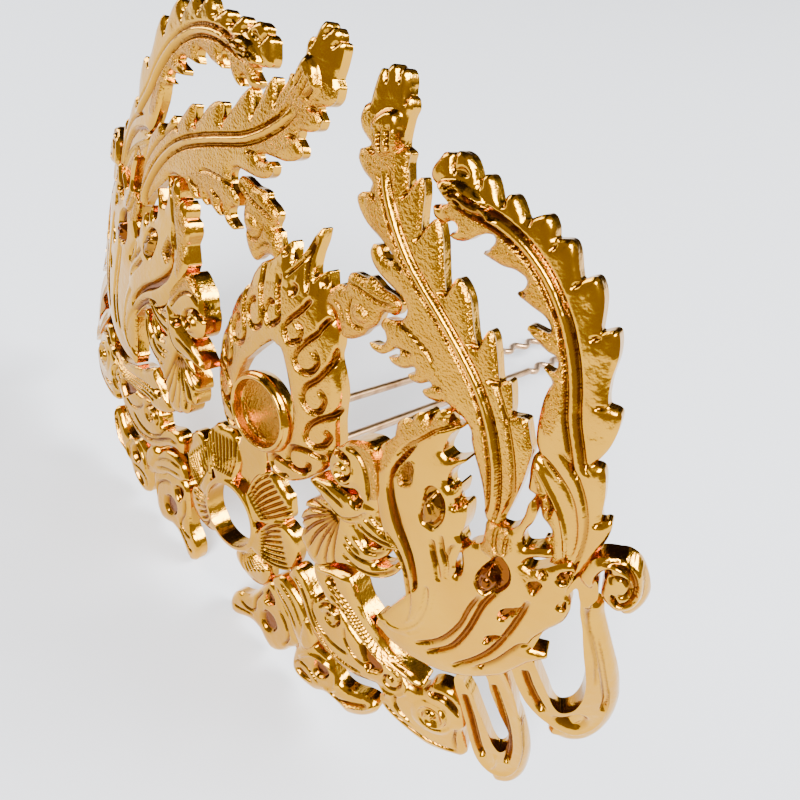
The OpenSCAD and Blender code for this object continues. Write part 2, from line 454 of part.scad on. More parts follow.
// Route of one leg: back from the plate, sideways at the crimps. Columns: reach, sideways place, height
function leg(side) = [for (y = concat([10, 34, 60], [for (i = [0 : 24]) 86 + 26 * i / 24], [fork_reach]))
    let (k = sin(360 * (y - 86) / 8.67) * (y < 86 || y > 112 ? 0 : 1))
    [side * fork_gap / 2 + crimp * k, y, fork_v - fork_drop * (y - plate_t) / (fork_reach - plate_t)]];
module hair_fork() {
    n = 8;
    bow_r = fork_gap / 2;
    bow_y = plate_t + 0.2 + wire_r + bow_r;
    bow = [for (a = [180 : 20 : 360]) [bow_r * cos(a), bow_y + bow_r * sin(a), fork_v]];
    right_leg = [for (p = leg(1)) if (p[1] > bow_y) p];
    left_leg = [for (p = leg(-1)) if (p[1] > bow_y) p];
    route = concat([for (i = [len(left_leg) - 1 : -1 : 0]) left_leg[i]], bow, right_leg);
    m = len(route);
    rings = [for (i = [0 : m - 1])
        let (q = route[min(i + 1, m - 1)] - route[max(i - 1, 0)], l = norm(q), t = q / l,
            side = [t[1], -t[0], 0] / norm([t[1], -t[0], 0]), up = cross(side, t))
        for (k = [0 : n - 1]) route[i] + wire_r * (side * cos(360 * k / n) - up * sin(360 * k / n))];
    color("silver") stand() polyhedron(rings, skin(m, n), convexity = 6);
}

medallion();
flower();
inner_feather();  // inner_feather_right
left_side() inner_feather();  // inner_feather_left
middle_feather();  // middle_feather_right
left_side() middle_feather();  // middle_feather_left
outer_feather();  // outer_feather_right
left_side() outer_feather();  // outer_feather_left
wing();  // wing_right
left_side() wing();  // wing_left
head();  // head_right
left_side() head();  // head_left
cloud_band();  // cloud_band_right
left_side() cloud_band();  // cloud_band_left
small_loop();  // small_loop_right
left_side() small_loop();  // small_loop_left
large_loop();  // large_loop_right
left_side() large_loop();  // large_loop_left
hair_fork();
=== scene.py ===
"""Phoenix crown: an openwork gilt casting with a wire hair fork, standing on a pale floor."""

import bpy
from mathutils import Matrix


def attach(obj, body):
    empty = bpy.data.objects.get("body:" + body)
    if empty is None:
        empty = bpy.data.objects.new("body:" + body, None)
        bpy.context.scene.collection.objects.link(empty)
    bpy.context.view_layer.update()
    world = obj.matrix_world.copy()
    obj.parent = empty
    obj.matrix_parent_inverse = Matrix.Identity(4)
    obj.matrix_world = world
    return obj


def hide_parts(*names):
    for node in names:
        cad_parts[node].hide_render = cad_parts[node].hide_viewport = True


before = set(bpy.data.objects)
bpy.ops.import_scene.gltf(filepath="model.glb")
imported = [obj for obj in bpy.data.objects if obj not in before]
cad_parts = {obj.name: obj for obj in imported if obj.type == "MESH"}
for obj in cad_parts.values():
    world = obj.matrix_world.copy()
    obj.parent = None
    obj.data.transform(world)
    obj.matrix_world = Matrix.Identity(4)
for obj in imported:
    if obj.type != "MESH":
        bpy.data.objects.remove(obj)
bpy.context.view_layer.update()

import logging
import math
from dataclasses import dataclass
from enum import Enum

import bpy
import numpy as np
from mathutils import Matrix, Vector

log = logging.getLogger("crown")
Points = list[tuple[float, ...]]
Input = bpy.types.NodeSocket | float | tuple[float, ...]

# millimetres, unless the name says otherwise
FAR_OUT = -9.0  # stands for any depth that is far outside an outline
EDGE_MARGIN = 1.2  # how far outside an outline its distances are still worked out
DARK_GROOVE = 0.5  # a groove this deep gets the full painted shade
DARK_PIT = 0.7  # and so does a pit this deep
GRAIN_EDGE = 0.4  # the ground's stipple fades out over this
OUTSIDE_FALL = 2  # how much a leaf drops for each millimetre outside its outline
STROKE_POWER = 1.5  # above 1, a stroke is narrower at its bottom than a parabola is
STROKE_FADE = 0.6  # below 1, a stroke starts bluntly
STROKE_CLEARS = 2.5  # how soon a stroke wipes the stipple away
COMB_STEPS = 24
CURL_STEPS = 48
CURL_CLOSES = 0.86  # share of its radius that a curl has wound in by its end
MERGE_M = 1e-6
SMOOTH_ANGLE = math.radians(70)


class Side(Enum):
    """Which part of the crown a piece is, as the end of its name says it."""

    RIGHT = "_right"
    LEFT = "_left"
    WHOLE = ""


# the plate that everything lies on
@dataclass(frozen=True)
class Plate:
    """The bent, leaning plate. Its drawing is across (u) and up (v), h is height over its front face.

    The sizes are the solid model's own, in millimetres and degrees.
    """

    thickness: float = 1.8
    bend_deg: float = 27.0
    bend_u: float = 56.0
    bend_power: int = 3
    widest: float = 90.0
    step: float = 0.5
    fork_v: float = 16.6
    fork_drop: float = 10.0
    fork_reach: float = 118.0
    wire_r: float = 0.85
    foot_v: float = -19.3
    stand_y: float = -56.35
    eye: tuple[float, float, float] = (55.08, -61.35, 94.44)

    @property
    def lean(self) -> float:
        """How far the crown leans back to its feet and the fork's tips, in radians."""
        rise = self.fork_v - self.fork_drop - self.wire_r - self.foot_v
        return math.atan(rise / (self.fork_reach - self.thickness))

    def angle(self, u: np.ndarray) -> np.ndarray:
        """Tangent angle of the plate at a distance from its middle."""
        return math.radians(self.bend_deg) * (np.abs(u) / self.bend_u) ** self.bend_power

    def upright(self, u: np.ndarray, v: np.ndarray, h: np.ndarray) -> np.ndarray:
        """Points on the bent plate before it leans.

        Args:
            u: places across.
            v: places up.
            h: heights over the front face.

        Returns:
            Rows of x, y, z in millimetres.
        """
        steps = np.arange(0.0, self.widest, self.step)
        mid = self.angle(steps + self.step / 2)
        run_x = np.concatenate([[0.0], np.cumsum(np.cos(mid))[:-1]]) * self.step
        run_y = np.concatenate([[0.0], np.cumsum(np.sin(mid))[:-1]]) * self.step
        away, tilt = np.abs(u), self.angle(u)
        x = np.sign(u) * (np.interp(away, steps, run_x) + h * np.sin(tilt))
        y = np.interp(away, steps, run_y) - h * np.cos(tilt)
        return np.stack([x, y, v + 0.0 * h], axis=1)

    def stand(self, xyz: np.ndarray) -> np.ndarray:
        """Leans points back, sets them on the floor and turns them to metres."""
        c, s = math.cos(self.lean), math.sin(self.lean)
        lift = -self.foot_v * c + self.thickness * s
        x, y, z = xyz.T
        return np.stack([x, y * c + z * s + self.stand_y, z * c - y * s + lift], axis=1) / 1000.0

    def turn(self, vector: tuple[float, float, float]) -> Vector:
        """A direction given against the upright plate, in the frame."""
        c, s = math.cos(self.lean), math.sin(self.lean)
        x, y, z = vector
        return Vector((x, y * c + z * s, z * c - y * s))

    def carry(self, seen: np.ndarray, h: np.ndarray | float) -> np.ndarray:
        """Moves points that were read off the front view to where they lie at their own height.

        Args:
            seen: rows of across, up, as they would lie on the front face itself.
            h: the height each one really has.

        Returns:
            Rows of across, up on the plate.
        """
        u, v = seen[:, 0], seen[:, 1]
        side = np.where(u < 0, -1.0, 1.0)
        tilt = self.angle(u)
        sight = np.array(self.eye) - self.upright(u, v, np.zeros(len(u)))
        out = side * np.sin(tilt) * sight[:, 0] - np.cos(tilt) * sight[:, 1]
        across = np.cos(tilt) * sight[:, 0] + side * np.sin(tilt) * sight[:, 1]
        return seen + np.stack([across / out * h, sight[:, 2] / out * h], axis=1)


PLATE = Plate()


# curves and distances
def flow(points: Points | np.ndarray, closed: bool = False, steps: int = 5) -> np.ndarray:
    """A smooth line through points. A third number of 1 makes a point a sharp corner.

    Args:
        points: rows of across, up and, for a corner, 1.
        closed: whether the line returns to its start.
        steps: short pieces between two points.

    Returns:
        Rows of across, up.
    """
    p = np.array([q[:2] for q in points], float)
    sharp = [len(q) > 2 for q in points]
    n = len(p)
    out = []
    for i in range(n if closed else n - 1):
        j = (i + 1) % n
        a = p[i] if sharp[i] or (not closed and i == 0) else p[i - 1]
        d = p[j] if sharp[j] or (not closed and j == n - 1) else p[(j + 1) % n]
        b, c = p[i], p[j]
        t = (np.arange(steps) / steps)[:, None]
        square = (2 * a - 5 * b + 4 * c - d) * t**2 / 2
        cube = (3 * b - a - 3 * c + d) * t**3 / 2
        out.append(b + (c - a) * t / 2 + square + cube)
    if not closed:
        out.append(p[-1:])
    return np.concatenate(out)


def near(at: np.ndarray, line: np.ndarray, margin: float) -> np.ndarray:
    """Which points lie in a line's box, widened by a margin."""
    lo, hi = line.min(0) - margin, line.max(0) + margin
    return np.flatnonzero(np.all((at > lo) & (at < hi), axis=1))


def to_line(at: np.ndarray, line: np.ndarray) -> tuple[np.ndarray, np.ndarray]:
    """Distance from points to a line, and how far along it the nearest place is, in millimetres."""
    best = np.full(len(at), np.inf)
    along = np.zeros(len(at))
    run = 0.0
    for a, b in zip(line[:-1], line[1:]):
        ab = b - a
        length = float(np.hypot(*ab)) or 1e-9
        t = np.clip(((at - a) @ ab) / length**2, 0, 1)
        gap = np.hypot(at[:, 0] - a[0] - t * ab[0], at[:, 1] - a[1] - t * ab[1])
        closer = gap < best
        best[closer] = gap[closer]
        along[closer] = run + t[closer] * length
        run += length
    return best, along


def depth_in(at: np.ndarray, ring: np.ndarray) -> np.ndarray:
    """How deep points lie inside a closed ring, negative outside it."""
    depth = np.full(len(at), FAR_OUT)
    use = near(at, ring, EDGE_MARGIN)
    if not len(use):
        return depth
    p = at[use]
    closed = np.vstack([ring, ring[:1]])
    gap, _ = to_line(p, closed)
    inside = np.zeros(len(p), bool)
    for a, b in zip(closed[:-1], closed[1:]):
        if a[1] == b[1]:
            continue
        spans = (a[1] > p[:, 1]) != (b[1] > p[:, 1])
        inside ^= spans & (p[:, 0] < (b[0] - a[0]) * (p[:, 1] - a[1]) / (b[1] - a[1]) + a[0])
    depth[use] = np.where(inside, gap, -gap)
    return depth


# what the modeller's tools press into the wax
@dataclass
class Relief:
    """Heights, stipple and the painted shade of grooves and pits at points of the drawing."""

    at: np.ndarray
    h: np.ndarray
    grain: np.ndarray
    hollow_shade: np.ndarray


def ends(along: np.ndarray, length: float, taper: float) -> np.ndarray:
    """Fades a stroke in and out over a taper at its two ends."""
    return np.clip(np.minimum(along, length - along) / taper, 0, 1) ** STROKE_FADE


@dataclass(frozen=True)
class Stroke:
    """A groove (depth below 0) or a ridge (above 0) along a line."""

    line: Points
    width: float = 0.8
    depth: float = -0.4
    taper: float = 1.2

    def press(self, r: Relief, lift: "Lift") -> None:
        """Presses the stroke into the relief."""
        self.draw(r, lift(flow(self.line)))

    def draw(self, r: Relief, line: np.ndarray) -> None:
        """Presses the stroke along a line that already lies at its height, and clears the stipple there."""
        half = self.width / 2
        use = near(r.at, line, half)
        if not len(use):
            return
        gap, along = to_line(r.at[use], line)
        length = float(np.hypot(*np.diff(line, axis=0).T).sum())
        profile = np.clip(1 - (gap / half) ** 2, 0, 1) ** STROKE_POWER * ends(along, length, self.taper)
        r.h[use] += self.depth * profile
        r.grain[use] *= 1 - np.clip(STROKE_CLEARS * profile, 0, 1)
        # a groove gets painted shade, more the deeper it is
        if self.depth < 0:
            r.hollow_shade[use] = np.maximum(r.hollow_shade[use], profile * min(1.0, -self.depth / DARK_GROOVE))


def strokes(width: float, depth: float, lines: list[Points], taper: float = 1.2) -> tuple[Stroke, ...]:
    """Strokes of one width and depth along several lines."""
    return tuple(Stroke(line, width, depth, taper) for line in lines)


def beside(line: Points, off: float) -> Points:
    """A line that runs at a distance to the left (off above 0) or right of another."""
    p = np.array(line, float)
    ahead = np.gradient(p, axis=0)
    ahead /= np.hypot(ahead[:, 0], ahead[:, 1])[:, None]
    return [tuple(q) for q in p + off * np.stack([-ahead[:, 1], ahead[:, 0]], axis=1)]


def midrib(line: Points, width: float = 0.8) -> tuple[Stroke, ...]:
    """A raised rib between two grooves, as a leaf's middle vein is chased."""
    sides = [beside(line, off) for off in (-0.9 * width, 0.9 * width)]
    rib = strokes(width * 1.5, 0.3, [line], taper=2.0)
    return (*rib, *strokes(width * 0.8, -0.45, sides, taper=2.0))


def nick(root: tuple[float, float], towards: tuple[float, float], share: float = 0.45) -> Stroke:
    """The short slit that a file leaves at the root of a barb."""
    end = (root[0] + (towards[0] - root[0]) * share, root[1] + (towards[1] - root[1]) * share)
    return Stroke([root, end], width=0.7, depth=-0.45, taper=0.6)


@dataclass(frozen=True)
class Comb:
    """Grooves side by side between a first and a last line."""

    first: Points
    last: Points
    count: int
    width: float
    depth: float

    def press(self, r: Relief, lift: "Lift") -> None:
        """Presses each groove of the comb."""
        t = np.linspace(0, 1, COMB_STEPS)
        a, b = (
            np.stack([np.interp(t, np.linspace(0, 1, len(line)), line[:, k]) for k in (0, 1)], axis=1)
            for line in (flow(self.first), flow(self.last))
        )
        for share in (k / (self.count - 1) for k in range(self.count)):
            Stroke([], self.width, self.depth, taper=0.8).draw(r, lift(a + (b - a) * share))


@dataclass(frozen=True)
class Pit:
    """A sunk (depth below 0) or raised place with a smooth outline."""

    outline: Points
    depth: float
    slope: float

    def press(self, r: Relief, lift: "Lift") -> None:
        """Presses the place in or draws it up."""
        d = depth_in(r.at, lift(flow(self.outline, closed=True)))
        x = np.clip(d / self.slope, 0, 1)
        r.h += self.depth * (x * (2 - x) if self.depth > 0 else x * x * (3 - 2 * x))
        # a pit gets painted shade, more the deeper it is
        if self.depth < 0:
            r.hollow_shade = np.maximum(r.hollow_shade, x * min(1.0, -self.depth / DARK_PIT))


@dataclass(frozen=True)
class Curl:
    """A rolled spiral: a raised or sunk line that winds into its middle, its angles in degrees."""

    centre: tuple[float, float]
    radius: float
    start: float
    turn: float
    width: float
    depth: float

    def press(self, r: Relief, lift: "Lift") -> None:
        """Presses the spiral."""
        t = np.linspace(0, 1, CURL_STEPS)
        a = np.radians(self.start + self.turn * t)
        rad = self.radius * (1 - CURL_CLOSES * t)
        line = np.stack([self.centre[0] + rad * np.cos(a), self.centre[1] + rad * np.sin(a)], axis=1)
        Stroke([], self.width, self.depth, taper=0.6).draw(r, lift(line))


@dataclass(frozen=True)
class Grain:
    """A punched, stippled ground inside an outline."""

    outline: Points
    amount: float

    def press(self, r: Relief, lift: "Lift") -> None:
        """Marks the ground as grainy."""
        d = depth_in(r.at, lift(flow(self.outline, closed=True)))
        r.grain = np.maximum(r.grain, self.amount * np.clip(d / GRAIN_EDGE, 0, 1))


Mark = Stroke | Comb | Pit | Curl | Grain


@dataclass(frozen=True)
class Lift:
    """Carries points read off the front view to a layer's own height."""

    height: float
    swollen: bool = False

    def __call__(self, seen: np.ndarray) -> np.ndarray:
        """The points where they lie on the plate."""
        h = self.height + (swell(seen) if self.swollen else 0.0)
        moved = PLATE.carry(seen, h)
        return PLATE.carry(seen, self.height + swell(moved)) if self.swollen else moved


def swell(at: np.ndarray) -> np.ndarray:
    """How far the medallion swells towards the viewer: most at its shoulder, less to every side."""
    top, shoulder = 1.1, 38
    across, above, below = 0.014, 0.0075, 0.002
    u, v = at[:, 0], at[:, 1]
    return top - across * u * u - np.where(v > shoulder, above, below) * (v - shoulder) ** 2


@dataclass(frozen=True)
class Layer:
    """One leaf of the casting, in millimetres.

    Its outline is as seen, unless seen is False. It has the height of its rim and the slope across
    and up. The shoulder rounds the rim off by the drop, and the pillow swells the leaf over its reach.
    """

    outline: Points
    height: float
    pillow: float
    reach: float
    tilt: tuple[float, float] = (0.0, 0.0)
    back: float = -1.8
    marks: tuple[Mark, ...] = ()
    swollen: bool = False
    shoulder: float = 0.6
    drop: float = 0.28
    seen: bool = True

    def ring(self) -> np.ndarray:
        """The outline where it lies on the plate. An outline that isn't as seen is there already."""
        line = flow(self.outline, closed=True)
        return Lift(self.height, self.swollen)(line) if self.seen else line

    def raise_from(self, at: np.ndarray, depth: np.ndarray) -> Relief:
        """Heights of this leaf at points whose depth inside its outline is known."""
        x = np.clip(depth / self.shoulder, 0, 1)
        y = np.clip(depth / self.reach, 0, 1)
        middle = self.ring().mean(0)
        h = self.height + (at - middle) @ np.array(self.tilt)
        if self.swollen:
            h = h + swell(at)
        h = h - self.drop * (1 - x) ** 2 + self.pillow * (1 - (1 - y) ** 2)
        h = h + np.minimum(depth, 0) * OUTSIDE_FALL
        r = Relief(at, h, np.zeros(len(at)), np.zeros(len(at)))
        lift = Lift(self.height + 0.5 * self.pillow, self.swollen)
        for mark in self.marks:
            mark.press(r, lift)
        return r


# mesh helpers
def alone(obj: bpy.types.Object) -> None:
    """Selects one object and nothing else."""
    bpy.ops.object.select_all(action="DESELECT")
    obj.select_set(True)
    bpy.context.view_layer.objects.active = obj


def corners(obj: bpy.types.Object) -> np.ndarray:
    """The vertices of an object's mesh as rows."""
    co = np.empty(len(obj.data.vertices) * 3)
    obj.data.vertices.foreach_get("co", co)
    return co.reshape(-1, 3)


def set_corners(obj: bpy.types.Object, co: np.ndarray) -> None:
    """Moves the vertices of an object's mesh."""
    obj.data.vertices.foreach_set("co", np.asarray(co, float).ravel())
    obj.data.update()


def edge_ends(mesh: bpy.types.Mesh) -> np.ndarray:
    """The two vertices of each edge."""
    pairs = np.empty(len(mesh.edges) * 2, int)
    mesh.edges.foreach_get("vertices", pairs)
    return pairs.reshape(-1, 2)


def grid(name: str, columns: int, rows: int) -> bpy.types.Object:
    """A flat one by one grid, the start of every sheet and tube."""
    bpy.ops.object.select_all(action="DESELECT")
    bpy.ops.mesh.primitive_grid_add(x_subdivisions=columns, y_subdivisions=rows, size=1.0, location=(0, 0, 0))
    obj = bpy.context.object
    obj.name = obj.data.name = name
    return obj


def drop_faces(obj: bpy.types.Object, gone: np.ndarray) -> None:
    """Deletes the faces that a mask names."""
    mesh = obj.data
    mesh.vertices.foreach_set("select", np.zeros(len(mesh.vertices), bool))
    mesh.edges.foreach_set("select", np.zeros(len(mesh.edges), bool))
    mesh.polygons.foreach_set("select", gone)
    alone(obj)
    bpy.ops.object.mode_set(mode="EDIT")
    bpy.ops.mesh.select_mode(type="FACE")
    bpy.ops.mesh.delete(type="FACE")
    bpy.ops.object.mode_set(mode="OBJECT")


def on_border(obj: bpy.types.Object) -> np.ndarray:
    """Which vertices of a sheet lie on an edge that has one face only."""
    mesh = obj.data
    uses = np.empty(len(mesh.loops), int)
    mesh.loops.foreach_get("edge_index", uses)
    single = np.bincount(uses, minlength=len(mesh.edges)) == 1
    border = np.zeros(len(mesh.vertices), bool)
    border[edge_ends(mesh)[single].ravel()] = True
    return border


def thicken(obj: bpy.types.Object) -> None:
    """Extrudes a sheet backwards twice: a thin band under its edge, then the wall and the back."""
    alone(obj)
    bpy.ops.object.mode_set(mode="EDIT")
    bpy.ops.mesh.select_all(action="SELECT")
    for _ in range(2):
        bpy.ops.mesh.extrude_region_move(TRANSFORM_OT_translate={"value": (0, 0, -1)})
    bpy.ops.object.mode_set(mode="OBJECT")


def close_up(obj: bpy.types.Object) -> None:
    """Merges doubles, fills open ends, turns every face outwards and smooths the shading."""
    alone(obj)
    bpy.ops.object.mode_set(mode="EDIT")
    bpy.ops.mesh.select_all(action="SELECT")
    bpy.ops.mesh.remove_doubles(threshold=MERGE_M)
    bpy.ops.mesh.select_all(action="DESELECT")
    bpy.ops.mesh.select_mode(type="VERT")
    bpy.ops.mesh.select_non_manifold(
        extend=False, use_wire=False, use_multi_face=False, use_non_contiguous=False
    )
    bpy.ops.mesh.fill_holes(sides=0)
    bpy.ops.mesh.select_all(action="SELECT")
    bpy.ops.mesh.normals_make_consistent(inside=False)
    bpy.ops.object.mode_set(mode="OBJECT")
    alone(obj)
    bpy.ops.object.shade_smooth_by_angle(angle=SMOOTH_ANGLE)


def note(obj: bpy.types.Object, name: str, values: np.ndarray) -> None:
    """Keeps a number for each vertex, which the finish reads."""
    layer = obj.data.attributes.new(name, "FLOAT", "POINT")
    layer.data.foreach_set("value", np.asarray(values, np.float32))


def crease(obj: bpy.types.Object, name: str) -> None:
    """Makes the edges sharp that join two vertices with a note of 1."""
    mesh = obj.data
    noted = np.empty(len(mesh.vertices), np.float32)
    mesh.attributes[name].data.foreach_get("value", noted)
    sharp = np.empty(len(mesh.edges), bool)
    mesh.edges.foreach_get("use_edge_sharp", sharp)
    mesh.edges.foreach_set("use_edge_sharp", sharp | np.all(noted[edge_ends(mesh)] > 0.5, axis=1))


def mirrored(obj: bpy.types.Object, name: str) -> bpy.types.Object:
    """A copy of a right-hand piece for the left, with a mesh of its own."""
    twin = obj.copy()
    twin.data = obj.data.copy()
    twin.name = twin.data.name = name
    bpy.context.scene.collection.objects.link(twin)
    co = corners(twin)
    co[:, 0] *= -1
    set_corners(twin, co)
    alone(twin)
    bpy.ops.object.mode_set(mode="EDIT")
    bpy.ops.mesh.select_all(action="SELECT")
    bpy.ops.mesh.flip_normals()
    bpy.ops.object.mode_set(mode="OBJECT")
    return twin


# finishes
def linear(hex_colour: str) -> tuple[float, float, float, float]:
    """Turns an sRGB hex value to the linear colour that shaders take."""
    parts = [int(hex_colour[i : i + 2], 16) / 255 for i in (1, 3, 5)]
    r, g, b = (c / 12.92 if c <= 0.04045 else ((c + 0.055) / 1.055) ** 2.4 for c in parts)
    return (r, g, b, 1.0)


@dataclass(frozen=True)
class Shader:
    """A node tree being filled, and short ways to add the nodes it needs."""

    tree: bpy.types.NodeTree

    def node(self, kind: str, settings: dict | None = None, **links: object) -> bpy.types.Node:
        """Adds a shader node, sets its properties and fills its inputs.

        Args:
            kind: Blender's node type.
            settings: properties of the node itself.
            links: input names, with _ for a space, or i and the input's number, given a value or
                another node's output.

        Returns:
            The new node.
        """
        made = self.tree.nodes.new(kind)
        for key, value in (settings or {}).items():
            setattr(made, key, value)
        for key, value in links.items():
            numbered = key[0] == "i" and key[1:].isdigit()
            socket = made.inputs[int(key[1:]) if numbered else key.replace("_", " ")]
            if isinstance(value, bpy.types.NodeSocket):
                self.tree.links.new(value, socket)
            else:
                socket.default_value = value
        return made

    def place(self, kind: str = "Object") -> bpy.types.NodeSocket:
        """Where a point lies."""
        return self.node("ShaderNodeTexCoord").outputs[kind]

    def noted(self, name: str) -> bpy.types.NodeSocket:
        """A number noted on the mesh."""
        return self.node("ShaderNodeAttribute", {"attribute_name": name}).outputs["Fac"]

    def noise(self, at: Input, scale: float, detail: float) -> bpy.types.NodeSocket:
        """A soft random value from 0 to 1, scale bumps to a metre."""
        return self.node("ShaderNodeTexNoise", Vector=at, Scale=scale, Detail=detail).outputs["Fac"]

    def spread(self, value: Input, **ends: float) -> bpy.types.NodeSocket:
        """Stretches one range of values over another."""
        return self.node("ShaderNodeMapRange", Value=value, **ends).outputs["Result"]

    def times(self, a: Input, b: Input) -> bpy.types.NodeSocket:
        """One value times another."""
        return self.node("ShaderNodeMath", {"operation": "MULTIPLY"}, i0=a, i1=b).outputs[0]

    def times_plus(self, a: Input, b: Input, c: Input) -> bpy.types.NodeSocket:
        """One value times another, plus a third."""
        return self.node("ShaderNodeMath", {"operation": "MULTIPLY_ADD"}, i0=a, i1=b, i2=c).outputs[0]

    def blend(self, share: Input, a: Input, b: Input) -> bpy.types.NodeSocket:
        """A mix of two colours, with a share of the second."""
        return self.node("ShaderNodeMix", {"data_type": "RGBA"}, i0=share, i6=a, i7=b).outputs[2]

    def bump(
        self, height: Input, distance: float, strength: float = 1.0, **under: Input
    ) -> bpy.types.NodeSocket:
        """The way a surface faces once a height is pressed into it."""
        return self.node(
            "ShaderNodeBump", Strength=strength, Distance=distance, Height=height, **under
        ).outputs["Normal"]

    def surface(self, **inputs: Input) -> None:
        """Ends the material in a principled surface."""
        made = self.node("ShaderNodeBsdfPrincipled", **inputs).outputs["BSDF"]
        self.node("ShaderNodeOutputMaterial", Surface=made)


def blank(name: str) -> tuple[bpy.types.Material, Shader]:
    """An empty node material."""
    made = bpy.data.materials.new(name)
    made.use_nodes = True
    made.node_tree.nodes.clear()
    return made, Shader(made.node_tree)


@dataclass(frozen=True)
class GoldPlating:
    """Bright gold plate on a polished zinc casting: pale where it is buffed, deeper in the punched grounds.

    A thin plate over nickel reads paler than solid gold. Its grooves and pits get a painted dark brown shade,
    where shadow would fall.
    The scales are in bumps to a metre, and the rough values are Blender's roughness.
    """

    name: str = "gold plated zinc casting"
    buffed: str = "#CC9522"
    deep: str = "#B97A14"
    shade_brown: str = "#5E2407"
    rough: float = 0.12
    grain_rough: float = 0.10
    cloud_rough: float = 0.08
    grain_mm: float = 0.36
    grain_depth_mm: float = 0.3
    cloud_scale: float = 160.0
    cloud_deepens: float = 0.35
    grain_deepens: float = 0.45
    shade_strength: float = 0.9
    ripple_scale: float = 520.0
    ripple_depth_mm: float = 0.14

    def make(self) -> bpy.types.Material:
        """Builds the material."""
        made, s = blank(self.name)
        at = s.place()
        grain = s.noted("grain")
        cloud = s.noise(at, self.cloud_scale, 3.0)
        warm = s.times(s.spread(cloud, From_Min=0.35, From_Max=0.7), self.cloud_deepens)
        deeper = s.times_plus(grain, self.grain_deepens, warm)
        plate = s.blend(deeper, linear(self.buffed), linear(self.deep))
        # painted shade: where the mesh's note asks, the colour is mixed towards a dark brown, in grooves,
        # pits and the cup's floor
        colour = s.blend(s.times(s.noted("hollow_shade"), self.shade_strength), plate, linear(self.shade_brown))
        rough = s.times_plus(cloud, self.cloud_rough, s.times_plus(grain, self.grain_rough, self.rough))
        dents = s.times(s.noise(at, 1000.0 / self.grain_mm, 2.0), grain)
        fine = s.bump(dents, self.grain_depth_mm / 1000)
        wave = s.bump(s.noise(at, self.ripple_scale, 3.0), self.ripple_depth_mm / 1000, Normal=fine)
        s.surface(Metallic=1.0, Base_Color=colour, Roughness=rough, Normal=wave)
        return made


@dataclass(frozen=True)
class DrawnWire:
    """Gold plated brass wire: drawn through a die, so fine lines run along it, and a little dull."""

    name: str = "gold plated drawn wire"
    colour: str = "#C9A075"
    worn: str = "#94693F"
    rough: float = 0.26
    line_rough: float = 0.12
    line_scale: float = 3200.0
    line_stretch: float = 0.06
    line_depth_mm: float = 0.04
    wear_scale: float = 260.0

    def make(self) -> bpy.types.Material:
        """Builds the material."""
        made, s = blank(self.name)
        at = s.place()
        drawn = s.node("ShaderNodeMapping", Vector=at, Scale=(1.0, self.line_stretch, 1.0)).outputs["Vector"]
        lines = s.noise(drawn, self.line_scale, 2.0)
        wear = s.spread(s.noise(at, self.wear_scale, 4.0), From_Min=0.5, From_Max=0.72)
        colour = s.blend(wear, linear(self.colour), linear(self.worn))
        rough = s.times_plus(lines, self.line_rough, self.rough)
        bump = s.bump(lines, self.line_depth_mm / 1000, strength=0.3)
        s.surface(Metallic=1.0, Base_Color=colour, Roughness=rough, Normal=bump)
        return made


